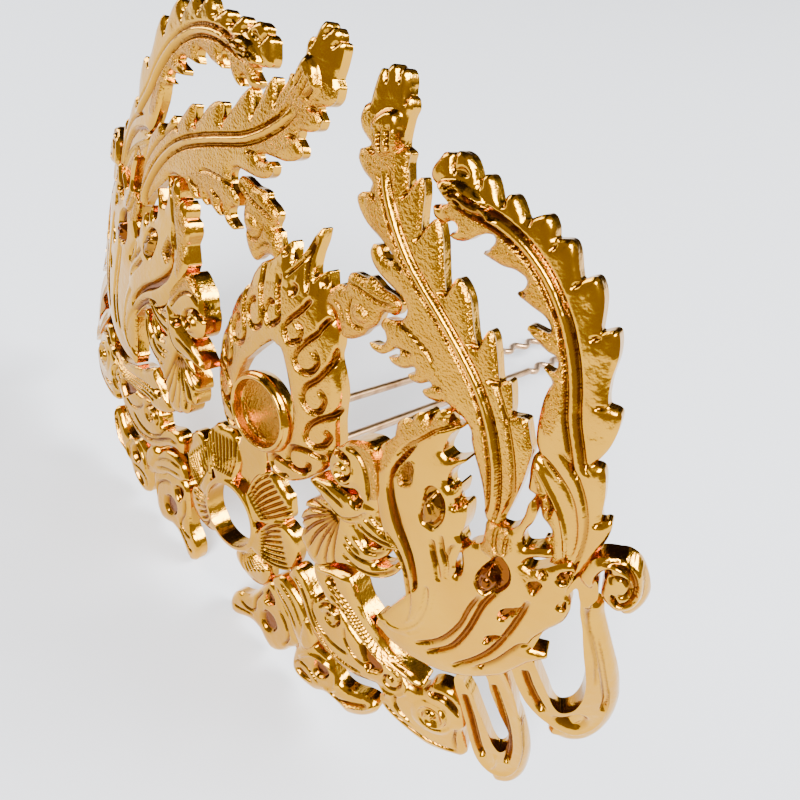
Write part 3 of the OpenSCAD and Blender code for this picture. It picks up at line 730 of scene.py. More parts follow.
# pieces of the casting
@dataclass
class Casting:
    """One named part of the casting, drawn on the right half and copied to the left.

    Lengths are in millimetres, and the shares are of the pitch, which is the size of the sheet's squares.
    """

    name: str
    gold: bpy.types.Material
    pitch: float = 0.18
    whole: bool = False
    keep_share: float = 0.62
    snap_share: float = 0.45
    rim_share: float = 0.35
    snap_rounds: int = 2
    longest_snap: float = 0.2
    probe: float = 0.02
    flattest: float = 0.3
    overhang: float = 0.2
    edge_band: float = 0.22
    thinnest: float = 0.5
    highest_back: float = -1.2
    wall_grain: float = 0.08

    def layers(self) -> list[Layer]:
        """The leaves this part is made of."""
        return []

    def openings(self) -> list[np.ndarray]:
        """Outlines, where they lie on the plate, of what is cut right through this part."""
        return []

    def folded(self, at: np.ndarray) -> np.ndarray:
        """The points, with the left half of a whole part laid over its right half."""
        return np.stack([np.abs(at[:, 0]), at[:, 1]], axis=1) if self.whole else at

    def depth(self, at: np.ndarray, rings: list[np.ndarray]) -> np.ndarray:
        """How deep points lie inside the part's whole outline."""
        p = self.folded(at)
        metal = np.max([depth_in(p, ring) for ring in rings], axis=0)
        return np.min([metal, *(-depth_in(at, opening) for opening in self.openings())], axis=0)

    def sheet(self, rings: list[np.ndarray]) -> bpy.types.Object:
        """A flat sheet of small squares, cut to the part's whole outline and drawn out to it."""
        every = np.concatenate(rings)
        lo, hi = every.min(0) - 1, every.max(0) + 1
        if self.whole:
            lo[0] = -hi[0]
        columns, rows = (int(n) for n in np.ceil((hi - lo) / self.pitch))
        obj = grid(f"{self.name}_cast", columns, rows)
        at = lo + (corners(obj)[:, :2] + 0.5) * (hi - lo)
        set_corners(obj, np.column_stack([at, np.zeros(len(at))]))
        loops = np.empty(len(obj.data.loops), int)
        obj.data.loops.foreach_get("vertex_index", loops)
        deepest_out = self.depth(at, rings)[loops.reshape(-1, 4)].min(1)
        drop_faces(obj, deepest_out < -self.keep_share * self.pitch)
        at = corners(obj)[:, :2]
        close = np.abs(self.depth(at, rings)) < self.snap_share * self.pitch
        rim = np.flatnonzero(close | on_border(obj))
        for _ in range(self.snap_rounds):
            at[rim] -= self.to_outline(at[rim], rings)
        set_corners(obj, np.column_stack([at, np.zeros(len(at))]))
        return obj

    def to_outline(self, at: np.ndarray, rings: list[np.ndarray]) -> np.ndarray:
        """The steps that lead from the whole outline to points beside it."""
        eps = self.probe
        dx = self.depth(at + [eps, 0], rings) - self.depth(at - [eps, 0], rings)
        dy = self.depth(at + [0, eps], rings) - self.depth(at - [0, eps], rings)
        slope = np.stack([dx, dy], axis=1) / (2 * eps)
        steep = np.maximum((slope**2).sum(1, keepdims=True), self.flattest)
        return np.clip(self.depth(at, rings)[:, None] * slope / steep, -self.longest_snap, self.longest_snap)

    def relief(self, at: np.ndarray, layers: list[Layer]) -> tuple[np.ndarray, ...]:
        """Heights, backs and marks of the sheet: at each point the highest leaf shows."""
        p = self.folded(at)
        h = np.full(len(p), FAR_OUT)
        back = np.full(len(p), self.highest_back)
        grain, hollow_shade = np.zeros(len(p)), np.zeros(len(p))
        for layer in layers:
            depth = depth_in(p, layer.ring())
            use = np.flatnonzero(depth > -self.overhang)
            if not len(use):
                continue
            r = layer.raise_from(p[use], depth[use])
            top = r.h > h[use]
            pick = use[top]
            h[pick], grain[pick], hollow_shade[pick] = r.h[top], r.grain[top], r.hollow_shade[top]
            floor = layer.back + (swell(p[use]) if layer.swollen else 0.0)
            back[use] = np.minimum(back[use], floor)
        return h, back, grain, hollow_shade

    def build(self) -> list[bpy.types.Object]:
        """Builds the part and its mirror image, and hides the solids they stand for."""
        layers = self.layers()
        rings = [layer.ring() for layer in layers]
        obj = self.sheet(rings)
        thicken(obj)
        co = corners(obj)
        at, row = co[:, :2], np.rint(-co[:, 2]).astype(int)
        front = row == 0
        h, back, grain, hollow_shade = self.relief(at, layers)
        behind = np.where(row == 1, h - self.edge_band, np.minimum(back, h - self.thinnest))
        set_corners(obj, PLATE.stand(PLATE.upright(at[:, 0], at[:, 1], np.where(front, h, behind))))
        rim = front & (np.abs(self.depth(at, rings)) < self.rim_share * self.pitch)
        note(obj, "grain", np.where(front, grain, self.wall_grain))
        # painted shade for the grooves and pits of the front face, none on the walls
        note(obj, "hollow_shade", np.where(front, hollow_shade, 0.0))
        note(obj, "rim", np.where(rim, 1.0, 0.0))
        close_up(obj)
        crease(obj, "rim")
        return self.finish(obj)

    def finish(self, obj: bpy.types.Object) -> list[bpy.types.Object]:
        """Dresses the piece, copies it to the left and hides the solids it replaces."""
        side = Side.WHOLE if self.whole else Side.RIGHT
        obj.name = obj.data.name = f"{self.name}_cast{side.value}"
        obj.data.materials.append(self.gold)
        made = {side: obj}
        if side is Side.RIGHT:
            made[Side.LEFT] = mirrored(obj, f"{self.name}_cast{Side.LEFT.value}")
        for half, piece in made.items():
            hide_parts(f"{self.name}{half.value}")
            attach(piece, "root")
            log.info("%s: %d faces", piece.name, len(piece.data.polygons))
        return list(made.values())


@dataclass
class Medallion(Casting):
    """The flame-topped middle plate, with curled leaves round the opening for the stone cup."""

    whole: bool = True

    def layers(self) -> list[Layer]:
        """The swollen plate, its flame, the leaf curls and the strip under the cup."""
        curls = strokes(1.15, -0.8, [
            [(2.9, 47.5), (1.8, 45.0), (0.3, 42.5), (-0.3, 41.0), (1.0, 39.3), (2.7, 40.5), (2.7, 42.5),
             (1.3, 42.8)],
            [(7.0, 47.2), (6.0, 45.0), (5.5, 43.5), (3.7, 40.5), (3.0, 38.0), (4.5, 36.8), (6.5, 37.8),
             (7.2, 40.0), (5.8, 41.3)],
            [(9.5, 44.0), (9.3, 41.0), (8.0, 37.5), (6.5, 35.0), (6.7, 33.0), (8.5, 32.3), (10.2, 33.5),
             (10.3, 35.8), (8.8, 36.5)],
            [(13.4, 36.6), (12.5, 34.5), (10.8, 32.5), (9.3, 30.0), (9.3, 28.0), (11.0, 27.6), (12.8, 29.0),
             (13.3, 31.0), (12.1, 31.5)],
            [(14.0, 27.6), (12.4, 26.6), (10.5, 26.0), (8.0, 24.5), (7.2, 23.0), (8.0, 21.5), (10.0, 21.5),
             (11.6, 23.0), (11.4, 24.4)],
            [(11.8, 22.0), (8.0, 20.8), (5.2, 20.0), (4.6, 18.8), (5.5, 17.9), (7.6, 18.1), (8.6, 19.0)],
        ], taper=1.0)
        plate = [
            (-4.0, 48.0), (-2.0, 52.0), (-0.6, 55.2), (1.3, 57.2, 1), (1.5, 55.4), (1.4, 54.0), (1.4, 53.0),
            (1.6, 51.5), (2.2, 50.0, 1), (3.1, 51.6), (4.3, 52.8, 1), (5.2, 51.0), (6.2, 48.6), (7.4, 47.4),
            (8.6, 46.2), (9.3, 44.4), (9.6, 42.5), (11.0, 40.7), (12.2, 39.0), (12.8, 37.6), (13.6, 34.7),
            (14.3, 33.0), (15.0, 31.5), (15.3, 29.8), (15.0, 28.0), (14.6, 26.0), (14.0, 24.5), (12.8, 22.5),
            (11.2, 20.2), (9.0, 18.0), (7.0, 17.0), (5.4, 16.9), (4.0, 17.6), (3.1, 19.0), (3.2, 20.4),
            (4.0, 20.8), (5.5, 21.8), (6.4, 24.0), (6.3, 27.0), (5.2, 30.2), (4.3, 31.5), (3.0, 33.4),
            (1.5, 35.4), (0.0, 37.0), (-2.4, 38.0),
        ]
        flame = (
            Stroke([(0.9, 55.6), (0.5, 52.5), (0.9, 50.2), (1.9, 47.6)], 0.8, -0.6),
            Stroke([(-0.9, 57.5), (-1.2, 53.0), (-1.0, 48.0), (-0.9, 45.2)], 2.0, 0.45, 3.0),
            Pit([(-0.9, 48.4), (0.4, 47.6), (0.1, 45.9), (-0.9, 45.2), (-1.9, 45.9),
                (-2.1, 47.6)], -0.7, 0.7),
            Pit([(3.9, 52.4), (4.7, 51.6), (4.7, 50.3), (3.9, 49.8), (3.2, 50.6)], -0.5, 0.5),
        )
        ground = Grain([(-3.0, 45.6), (3.6, 45.6), (9.0, 41.0), (13.0, 33.0), (14.0, 27.0), (9.5, 20.0),
            (6.8, 24.0), (4.2, 32.0), (-1.0, 38.0)], 0.35)
        strip = [(-6.0, 18.9), (3.0, 18.9), (3.0, 8.9), (-6.0, 8.9)]
        return [
            Layer(plate, 0.0, 0.35, 2.2, marks=flame + curls + (ground,), swollen=True, back=-1.9),
            Layer(strip, -0.6, 0.0, 1.0, back=-1.8, drop=0.1),
        ]


@dataclass
class MiddleFeather(Casting):
    """The broad feather beside the flame, with curled barbs along both edges."""

    def layers(self) -> list[Layer]:
        """One long leaf with a bud at its top, its barbs notched at their roots."""
        edge = [
            (2.6, 76.8), (3.0, 77.4), (3.5, 77.2, 1), (3.8, 78.0), (4.4, 78.4), (4.9, 78.3), (5.2, 78.0, 1),
            (5.7, 78.5), (6.4, 78.4), (7.0, 77.6), (7.4, 76.4), (7.9, 76.2), (8.4, 75.4), (8.3, 74.2),
            (8.6, 72.2), (8.9, 71.4, 1), (10.0, 71.2), (10.2, 70.2), (11.0, 68.6), (11.4, 67.5, 1),
            (12.5, 69.7), (13.5, 68.5), (14.3, 66.2), (15.0, 64.3, 1), (16.2, 66.8), (17.8, 65.4),
            (19.0, 63.3), (20.2, 61.2), (21.0, 60.0, 1), (21.4, 62.4), (22.5, 62.4), (24.0, 61.3),
            (25.3, 59.4), (26.4, 57.8), (27.3, 56.9, 1), (27.5, 59.5), (28.5, 59.3), (29.8, 57.5),
            (30.8, 55.9), (31.4, 55.0, 1), (32.3, 56.0), (33.0, 55.3), (34.0, 53.5), (34.4, 52.4, 1),
            (36.0, 53.2), (36.5, 52.8), (37.6, 51.3), (38.4, 50.2), (38.8, 48.5), (39.3, 46.0), (39.6, 43.5),
            (39.8, 41.0), (39.9, 38.5), (39.5, 37.4), (37.5, 38.6), (37.0, 39.7), (36.0, 41.3), (34.5, 43.2),
            (33.0, 44.8), (31.8, 46.2), (31.0, 47.5), (29.5, 48.2), (28.2, 48.2), (26.8, 48.4), (25.4, 47.6),
            (24.0, 47.2), (23.1, 47.6, 1), (23.8, 48.4), (24.2, 49.0, 1), (23.6, 49.2), (22.6, 48.2),
            (21.3, 47.7), (20.4, 48.1, 1), (21.2, 48.6), (21.2, 49.4, 1), (20.8, 49.4), (19.6, 48.3),
            (18.0, 47.9), (17.0, 48.3, 1), (17.8, 48.7), (18.4, 49.4), (18.2, 50.2, 1), (17.5, 49.9),
            (17.0, 49.0), (16.0, 47.9), (14.5, 47.6), (13.6, 48.0, 1), (14.0, 48.3), (15.5, 48.9),
            (15.9, 50.0), (15.2, 50.9, 1), (14.4, 51.2), (14.6, 52.4), (15.8, 53.0), (16.8, 53.6),
            (17.2, 54.6), (16.9, 55.6), (15.9, 56.2), (14.0, 56.5), (11.6, 56.9), (10.0, 57.6), (9.2, 58.6),
            (9.3, 59.6, 1), (10.2, 59.9), (11.0, 59.3), (12.2, 59.0), (12.8, 59.4, 1), (12.6, 59.8),
            (11.6, 60.3), (9.6, 60.8), (7.4, 61.3), (5.6, 62.3), (4.8, 63.3), (5.3, 64.2, 1), (6.4, 64.8, 1),
            (6.3, 65.2), (6.2, 65.9), (4.6, 66.4), (3.3, 67.3), (3.1, 68.4, 1), (4.2, 69.2, 1), (4.3, 69.7),
            (2.6, 70.4), (1.8, 71.5), (1.9, 72.9, 1), (2.6, 73.6, 1), (2.5, 75.0),
        ]
        rib = [(7.5, 68.0), (9.0, 65.8), (10.9, 63.8), (13.0, 62.0), (15.5, 60.3), (18.5, 58.8), (21.5, 57.4),
            (25.0, 55.6), (28.5, 53.5), (31.5, 51.0), (34.0, 48.0), (36.0, 44.8), (37.6, 41.2), (38.2, 38.5)]
        notches = [
            [(8.9, 71.6), (7.6, 69.5)], [(11.4, 67.5), (10.4, 64.9)], [(15.0, 64.3), (14.4, 61.7)],
            [(21.0, 60.0), (18.6, 59.6)], [(27.3, 56.9), (24.0, 56.8)], [(31.5, 54.7), (28.0, 54.5)],
            [(4.2, 69.2), (7.2, 68.6)], [(6.4, 64.8), (9.6, 64.0)], [(12.8, 59.6), (17.0, 58.4)],
            [(18.2, 50.2), (22.5, 51.6)], [(24.2, 49.0), (27.6, 50.4)],
        ]
        marks: tuple[Mark, ...] = (
            Grain([(3.0, 70.0), (5.0, 66.5), (6.5, 63.0), (11.0, 60.0), (17.0, 58.0), (22.0, 55.6),
                (28.0, 52.6), (32.5, 48.4), (35.5, 43.0), (37.8, 38.0), (39.5, 38.0), (38.6, 42.5),
                (36.2, 47.2), (32.0, 52.0), (26.5, 56.0), (20.0, 59.4), (14.0, 63.0), (10.0, 67.5),
                (8.0, 71.0)], 0.9),
            Grain([(15.5, 55.0), (22.0, 52.5), (28.0, 48.5), (18.0, 48.2), (14.5, 50.0)], 0.6),
            Grain([(0.5, 71.0), (14.0, 71.0), (24.0, 62.0), (36.0, 56.0), (41.0, 46.0), (41.0, 36.0),
                (30.0, 45.0), (13.0, 46.0)], 0.45),
            *midrib(rib),
            *strokes(0.7, -0.35, [
                [(31.0, 55.0), (34.0, 52.0), (37.0, 48.0), (39.0, 44.0), (39.5, 40.0)],
                [(14.6, 53.6), (16.0, 53.4), (18.0, 53.3), (20.0, 53.0), (22.0, 52.6), (23.3, 51.9)],
            ]),
            Pit([(3.9, 71.9), (4.5, 73.1), (5.2, 73.9), (5.9, 74.3), (6.6, 74.5), (7.4, 74.4), (8.1, 73.6),
                (8.6, 72.2), (8.4, 70.7), (7.3, 69.5), (6.2, 69.1), (5.2, 69.8), (4.4, 70.8)], 0.9, 1.0),
            *strokes(0.7, -0.5, [
                [(4.7, 71.6), (5.3, 70.6), (5.9, 69.8)],
                [(5.7, 72.2), (6.2, 70.8), (6.7, 69.6)],
                [(6.8, 72.8), (7.2, 71.6), (7.6, 70.4)],
            ], 0.6),
            Stroke([(7.9, 73.2), (8.2, 72.4), (8.5, 71.4)], 0.6, -0.4, 0.5),
            *strokes(0.6, -0.5, [
                [(3.5, 77.2), (4.1, 76.2)],
                [(5.2, 78.0), (5.8, 76.8)],
            ], 0.5),
            Stroke([(7.2, 77.0), (7.3, 76.0), (7.4, 75.0)], 0.5, -0.4, 0.5),
        )
        marks += tuple(nick(*line) for line in notches)
        return [Layer(edge, 0.35, 0.25, 1.6, marks=marks, back=-1.35)]


@dataclass
class InnerFeather(Casting):
    """The small curled leaf tucked between the flame and the middle feather."""

    def layers(self) -> list[Layer]:
        """The leaf and its bud."""
        edge = [
            (5.2, 50.3), (6.0, 51.6), (6.6, 52.3, 1), (7.5, 52.6), (7.3, 54.1), (8.2, 54.9), (10.0, 55.3),
            (10.5, 55.9), (11.5, 55.9), (13.0, 55.6), (14.8, 55.8), (16.0, 55.5), (16.3, 54.6), (15.8, 53.6),
            (14.2, 53.0), (14.0, 51.6), (13.7, 50.6), (12.9, 49.4), (12.4, 48.2), (11.5, 47.1), (10.6, 46.4),
            (9.6, 46.1), (8.9, 46.8), (8.2, 47.8), (7.0, 48.5), (5.1, 48.6),
        ]
        marks = (
            Pit([(9.8, 50.8), (10.6, 51.9), (12.0, 51.9), (12.8, 51.0), (12.2, 50.0),
                (10.8, 49.8)], 0.55, 0.9),
            Stroke([(9.0, 52.2), (9.3, 50.0), (10.6, 48.8), (12.4, 49.3)], 0.7, -0.45),
            Stroke([(7.6, 53.4), (10.2, 53.6), (13.2, 53.9), (15.4, 54.8)], 0.7, -0.4),
            Stroke([(6.4, 50.0), (8.0, 49.6), (9.2, 48.0)], 0.6, -0.35),
            Grain([(4.6, 46.0), (4.6, 56.0), (17.6, 57.0), (17.6, 49.0), (10.0, 45.0)], 0.6),
        )
        return [Layer(edge, -0.3, 0.5, 1.8, marks=marks, back=-1.8, drop=0.35)]


@dataclass
class OuterFeather(Casting):
    """The long outer feather that curls over the top corner and down the side."""

    def layers(self) -> list[Layer]:
        """The leaf with its barbs, and the plume on its flank."""
        edge = [
            (13.4, 71.2), (13.9, 72.8), (14.2, 73.4), (15.0, 73.7), (15.5, 73.5, 1), (15.8, 74.3),
            (16.8, 74.5), (17.6, 74.3), (18.4, 73.7), (19.0, 73.1), (19.3, 72.7, 1), (19.7, 73.7),
            (20.5, 73.9), (21.3, 73.3), (22.2, 72.3), (22.7, 72.0, 1), (23.0, 73.2), (23.8, 73.5),
            (24.7, 73.0), (25.4, 72.4), (25.9, 72.0, 1), (27.6, 73.6), (28.8, 73.1), (29.5, 72.0, 1),
            (31.0, 72.7), (32.0, 72.1), (33.0, 70.7), (33.7, 69.8, 1), (34.8, 70.9), (35.7, 70.6),
            (36.8, 69.2), (38.0, 66.3, 1), (39.2, 67.4), (40.0, 66.7), (40.8, 65.0), (41.3, 62.8),
            (42.0, 60.9), (42.6, 59.9, 1), (44.0, 60.0), (44.7, 58.3), (45.0, 56.2), (44.9, 54.6),
            (44.6, 53.0, 1), (45.6, 53.3), (46.4, 52.6), (47.6, 50.3), (48.4, 48.2), (49.0, 47.2, 1),
            (49.6, 47.9), (50.1, 47.4), (50.5, 45.6), (50.6, 43.0), (50.7, 40.0), (50.4, 36.5), (50.3, 33.0),
            (49.0, 33.0), (48.8, 37.0), (48.0, 41.0), (46.5, 45.0), (44.0, 48.0), (40.0, 50.0), (38.0, 52.0),
            (36.7, 55.8), (36.4, 57.8), (36.3, 58.9), (34.5, 59.7, 1), (36.0, 59.9), (36.0, 60.8),
            (35.4, 61.5), (34.0, 61.5), (31.3, 62.2, 1), (31.4, 62.9), (33.6, 63.3), (33.2, 64.1),
            (32.2, 64.6), (30.8, 64.7), (28.2, 64.9, 1), (28.9, 65.7), (28.9, 66.6), (28.3, 67.0),
            (27.0, 67.0), (25.5, 66.6), (22.7, 66.5, 1), (23.4, 67.2), (23.8, 68.2), (23.4, 68.8),
            (22.6, 68.6), (21.6, 67.8), (20.6, 66.6), (19.3, 66.0), (18.3, 66.1, 1), (19.0, 67.2),
            (18.2, 67.6), (17.2, 66.9), (15.8, 66.9), (15.1, 67.9, 1), (16.8, 69.0), (15.0, 69.9),
            (13.8, 70.3),
        ]
        rib = [(18.0, 70.0), (22.0, 70.2), (25.0, 70.1), (28.0, 69.4), (31.0, 68.0), (34.0, 65.7),
            (36.5, 62.9), (38.5, 59.9), (40.3, 56.5), (42.2, 53.8), (43.7, 51.7), (44.6, 51.2)]
        slits = [(19.5, 73.0), (22.8, 72.5), (26.2, 72.5), (29.8, 71.8), (33.8, 69.7), (38.3, 66.0),
            (42.5, 59.7), (44.5, 52.6), (49.1, 47.0)]
        roots = [(20.2, 70.8), (23.4, 70.8), (26.8, 70.4), (29.6, 69.4), (32.8, 67.4), (36.4, 64.0),
            (40.0, 58.2), (43.0, 52.6), (47.4, 45.4)]
        lower = [[(34.5, 59.7), (37.0, 60.4)], [(31.3, 62.2), (34.4, 63.2)], [(28.2, 64.9), (31.0, 66.0)],
            [(22.7, 66.5), (24.6, 68.4)], [(18.3, 66.1), (20.0, 68.6)], [(15.1, 67.9), (17.6, 68.8)]]
        marks: tuple[Mark, ...] = (
            Grain([(16.0, 69.4), (22.0, 69.6), (28.0, 68.6), (33.0, 65.6), (37.6, 59.8), (39.4, 53.4),
                (37.4, 54.0), (35.6, 59.6), (28.0, 65.4), (18.0, 67.0)], 0.8),
            Grain([(40.5, 50.2), (44.4, 48.0), (47.4, 43.5), (48.4, 38.0), (46.2, 44.6), (43.6, 47.6)], 0.9),
            *midrib(rib),
            Stroke([(39.5, 50.5), (42.0, 49.6), (45.0, 47.5), (47.5, 43.5), (48.3, 40.5)], 0.9, -0.5),
            Stroke([(41.0, 52.4), (44.4, 50.4), (47.4, 46.6), (49.2, 41.6), (49.7, 36.0)], 0.7, -0.35),
            Pit([(14.7, 70.0), (15.1, 70.7), (15.9, 71.3), (17.0, 71.8), (18.2, 72.0), (19.5, 71.9),
                (20.7, 71.5), (21.9, 70.9), (23.4, 70.1), (21.6, 69.6), (19.8, 69.2), (17.9, 69.1),
                (16.2, 69.1)], 0.9, 1.0),
            Comb([(15.4, 70.4), (17.4, 70.9), (20.0, 70.6), (22.4, 70.1)],
                [(17.2, 69.3), (19.4, 69.5), (21.8, 69.8)], 4, 0.55, -0.4),
            Pit([(16.0, 72.4), (17.0, 73.4), (18.2, 73.0), (18.0, 72.3), (17.0, 72.1)], -0.4, 0.5),
            Stroke([(15.5, 73.5), (15.9, 72.6), (16.4, 71.9)], 0.7, -0.5, 0.5),
        )
        marks += tuple(nick(a, b) for a, b in zip(slits, roots)) + tuple(nick(*line) for line in lower)
        flank = [
            (38.9, 50.2), (40.7, 50.0), (43.4, 49.4), (46.4, 46.8), (48.4, 43.0), (49.6, 39.0), (50.0, 35.0),
            (48.6, 33.4), (47.4, 36.0), (46.8, 38.8), (46.2, 39.8), (45.4, 40.5), (44.6, 41.0, 1),
            (45.4, 41.6), (45.0, 42.5), (44.2, 43.0), (43.3, 43.4), (42.7, 44.2), (42.0, 45.0), (41.2, 45.5),
            (40.3, 45.6), (39.8, 46.8), (39.2, 48.3),
        ]
        fold: tuple[Mark, ...] = (
            Grain([(39.4, 48.4), (41.0, 47.4), (43.6, 45.0), (45.8, 42.4), (47.4, 39.0), (47.2, 37.2),
                (45.0, 40.6), (42.0, 45.2)], 1.0),
            Stroke([(39.0, 49.5), (40.6, 48.4), (42.2, 47.3), (43.8, 46.1), (45.4, 44.5), (47.0, 42.2),
                (48.2, 39.8)], 0.6, 0.4),
            Stroke([(41.6, 45.6), (42.6, 46.4), (43.6, 45.2), (44.0, 43.6)], 0.6, -0.5),
            Stroke([(42.8, 44.6), (43.8, 45.4)], 0.5, -0.4),
        )
        return [
            Layer(edge, 0.3, 0.25, 1.6, marks=marks, back=-1.3),
            Layer(flank, -0.1, 0.25, 1.4, marks=fold, back=-1.3),
        ]


@dataclass
class Wing(Casting):
    """The two big leaves of the wing: the near one over the far one, each with a rolled eye."""

    def layers(self) -> list[Layer]:
        """The flight leaf behind and the covert leaf in front."""
        covert = [
            (21.1, 36.5, 1), (21.9, 38.1), (22.4, 39.2, 1), (22.0, 41.0), (22.3, 42.0), (22.9, 42.8),
            (23.7, 43.1, 1), (23.8, 44.2), (24.4, 45.0), (25.2, 45.3), (25.9, 44.5, 1), (26.0, 45.5),
            (26.4, 46.8), (27.0, 47.5), (27.8, 47.7), (28.0, 46.8), (28.3, 46.0, 1), (29.2, 46.6),
            (30.2, 47.3, 1), (29.6, 46.3), (29.1, 45.2), (29.0, 44.1), (29.0, 43.0), (29.2, 42.2, 1),
            (30.4, 42.0), (31.4, 42.8), (32.6, 44.2, 1), (32.3, 43.2), (31.6, 41.9), (31.3, 40.6),
            (31.3, 39.4), (31.7, 38.6, 1), (32.4, 38.4), (32.9, 39.2), (33.0, 40.7, 1), (33.5, 39.6),
            (33.7, 38.4), (33.5, 37.4), (33.8, 36.7, 1), (34.3, 37.2), (34.9, 38.1, 1), (35.4, 37.4),
            (35.9, 36.1), (36.2, 34.6), (36.2, 33.3), (37.0, 32.4), (37.2, 31.3), (37.4, 30.1), (37.6, 28.8),
            (38.1, 27.6), (38.0, 24.0), (38.9, 19.5), (39.2, 15.5), (38.4, 12.4), (36.6, 10.6), (34.4, 9.8),
            (31.6, 10.0), (33.2, 11.4), (34.6, 12.6), (34.9, 14.6), (34.2, 17.2), (33.0, 19.4), (31.4, 21.6),
            (29.6, 22.9), (27.6, 23.9), (26.0, 25.4), (24.6, 27.2), (23.2, 29.4), (22.2, 32.0), (21.4, 34.2),
        ]
        flight = [
            (38.0, 33.2), (39.0, 34.6), (38.6, 36.4), (38.2, 38.0), (39.4, 38.2), (41.0, 38.8), (41.6, 40.1),
            (41.6, 41.2), (41.5, 42.4), (41.2, 43.8), (41.4, 45.0, 1), (42.0, 44.3), (42.6, 43.2),
            (42.8, 41.9), (42.6, 40.6), (42.7, 39.4), (43.0, 38.5), (43.7, 38.0), (44.4, 38.4), (45.2, 39.2),
            (46.2, 39.9, 1), (46.9, 39.1, 1), (46.3, 38.4), (45.6, 37.9), (44.9, 37.1), (44.6, 36.4, 1),
            (44.5, 35.7), (45.1, 35.4), (46.0, 35.6), (46.8, 36.7), (47.5, 37.9), (48.6, 39.6), (49.6, 39.4),
            (50.4, 37.6), (50.5, 36.2), (50.8, 35.2, 1), (51.4, 34.6), (52.1, 33.8), (52.4, 32.6),
            (52.5, 31.1), (52.2, 29.8), (51.7, 28.5), (51.3, 27.0), (51.0, 25.6), (51.0, 24.6, 1),
            (51.4, 23.7), (52.0, 23.8), (52.9, 24.1), (53.6, 24.3), (53.9, 23.6), (53.2, 22.5), (52.3, 21.0),
            (51.6, 19.0), (50.6, 16.4), (48.6, 13.8), (46.8, 12.0), (44.2, 10.2), (41.5, 9.0), (38.5, 8.2),
            (35.5, 8.0), (33.5, 8.4), (32.0, 9.6), (34.5, 20.0), (35.6, 28.0), (37.4, 28.6), (38.2, 27.4),
            (38.8, 27.5), (38.7, 28.8), (38.0, 30.4), (37.4, 31.6),
        ]
        channel = [
            (26.0, 41.2), (25.1, 39.7), (24.5, 37.8), (24.1, 36.2), (23.9, 34.5), (24.2, 32.8), (24.8, 31.2),
            (25.9, 29.6), (27.1, 28.1), (28.4, 26.8), (29.8, 25.7), (31.0, 24.7), (32.4, 23.2), (33.6, 21.4),
            (34.6, 19.4), (35.0, 21.0), (34.0, 23.0), (32.9, 24.6), (31.7, 26.0), (30.4, 27.2), (29.0, 28.5),
            (27.8, 29.8), (26.6, 31.1), (25.8, 32.3), (25.1, 33.5), (24.9, 34.6), (25.0, 35.9), (25.4, 37.4),
            (25.8, 39.2),
        ]
        near_marks: tuple[Mark, ...] = (
            Grain([(21.6, 36.8), (22.6, 42.0), (25.2, 44.8), (28.0, 47.0), (29.0, 46.2), (26.6, 43.0),
                (24.2, 38.6), (23.6, 34.0), (22.4, 33.0)], 0.8),
            Grain([(24.9, 37.0), (26.6, 38.4), (27.6, 36.4), (27.8, 34.4), (26.4, 33.4), (24.9, 34.4)], 0.8),
            Pit(channel, -0.95, 0.45),
            Stroke([(24.0, 37.3), (24.8, 39.5), (25.7, 41.3), (26.6, 43.0), (27.4, 44.5), (28.5, 45.7),
                (29.7, 46.9)], 0.6, -0.4),
            Pit([(25.2, 37.2), (26.0, 38.0), (27.0, 37.4), (27.4, 36.2), (27.7, 35.2), (27.3, 34.2),
                (26.4, 33.5), (25.6, 33.8), (25.1, 34.8), (25.0, 36.0)], -0.6, 0.5),
            Curl((26.4, 35.6), 1.5, 200, 250, 0.6, 0.4),
            Pit([(29.3, 35.9), (29.6, 36.9), (30.3, 37.4), (31.3, 37.2), (32.4, 36.6), (33.1, 35.4),
                (33.6, 33.9), (33.5, 32.4), (33.0, 31.2), (32.0, 30.9), (31.0, 31.0), (30.3, 32.0),
                (29.9, 33.4), (29.6, 34.8)], -0.5, 0.4),
            Pit([(30.2, 35.8), (30.9, 36.6), (32.0, 36.0), (32.8, 34.6), (33.0, 33.0), (32.2, 31.6),
                (31.0, 31.7), (30.3, 33.0), (30.0, 34.6)], 1.2, 0.9),
            Comb([(30.1, 34.9), (31.2, 34.8), (32.4, 33.4)],
                [(30.6, 36.9), (31.8, 36.4), (33.2, 34.8)], 4, 0.45, -0.35),
            Curl((31.1, 32.5), 1.3, 60, -400, 0.5, -0.4),
            Stroke([(33.4, 30.0), (34.4, 28.4), (35.6, 26.8), (37.0, 24.6)], 1.0, -0.7),
            Stroke([(34.2, 31.6), (35.4, 29.6), (36.7, 28.0), (37.6, 25.6)], 0.8, -0.5),
            Pit([(33.5, 36.4), (33.8, 37.3), (34.2, 37.9), (34.6, 37.3), (34.4, 36.4),
                (33.9, 36.0)], -0.6, 0.35),
            Stroke([(36.4, 31.8), (36.0, 30.4), (36.4, 28.8)], 0.7, -0.4),
            Stroke([(27.2, 24.9), (30.0, 23.6), (32.6, 21.0), (34.6, 17.6), (35.4, 14.4),
                (34.4, 12.0)], 1.2, -0.8, 2.0),
            Stroke([(35.9, 22.4), (37.0, 18.8), (37.0, 15.0), (35.6, 12.2), (33.6, 10.8)], 1.0, -0.65, 2.0),
            Stroke([(37.5, 23.0), (38.4, 19.0), (38.2, 15.0), (37.0, 12.0)], 0.8, -0.5, 2.0),
        )
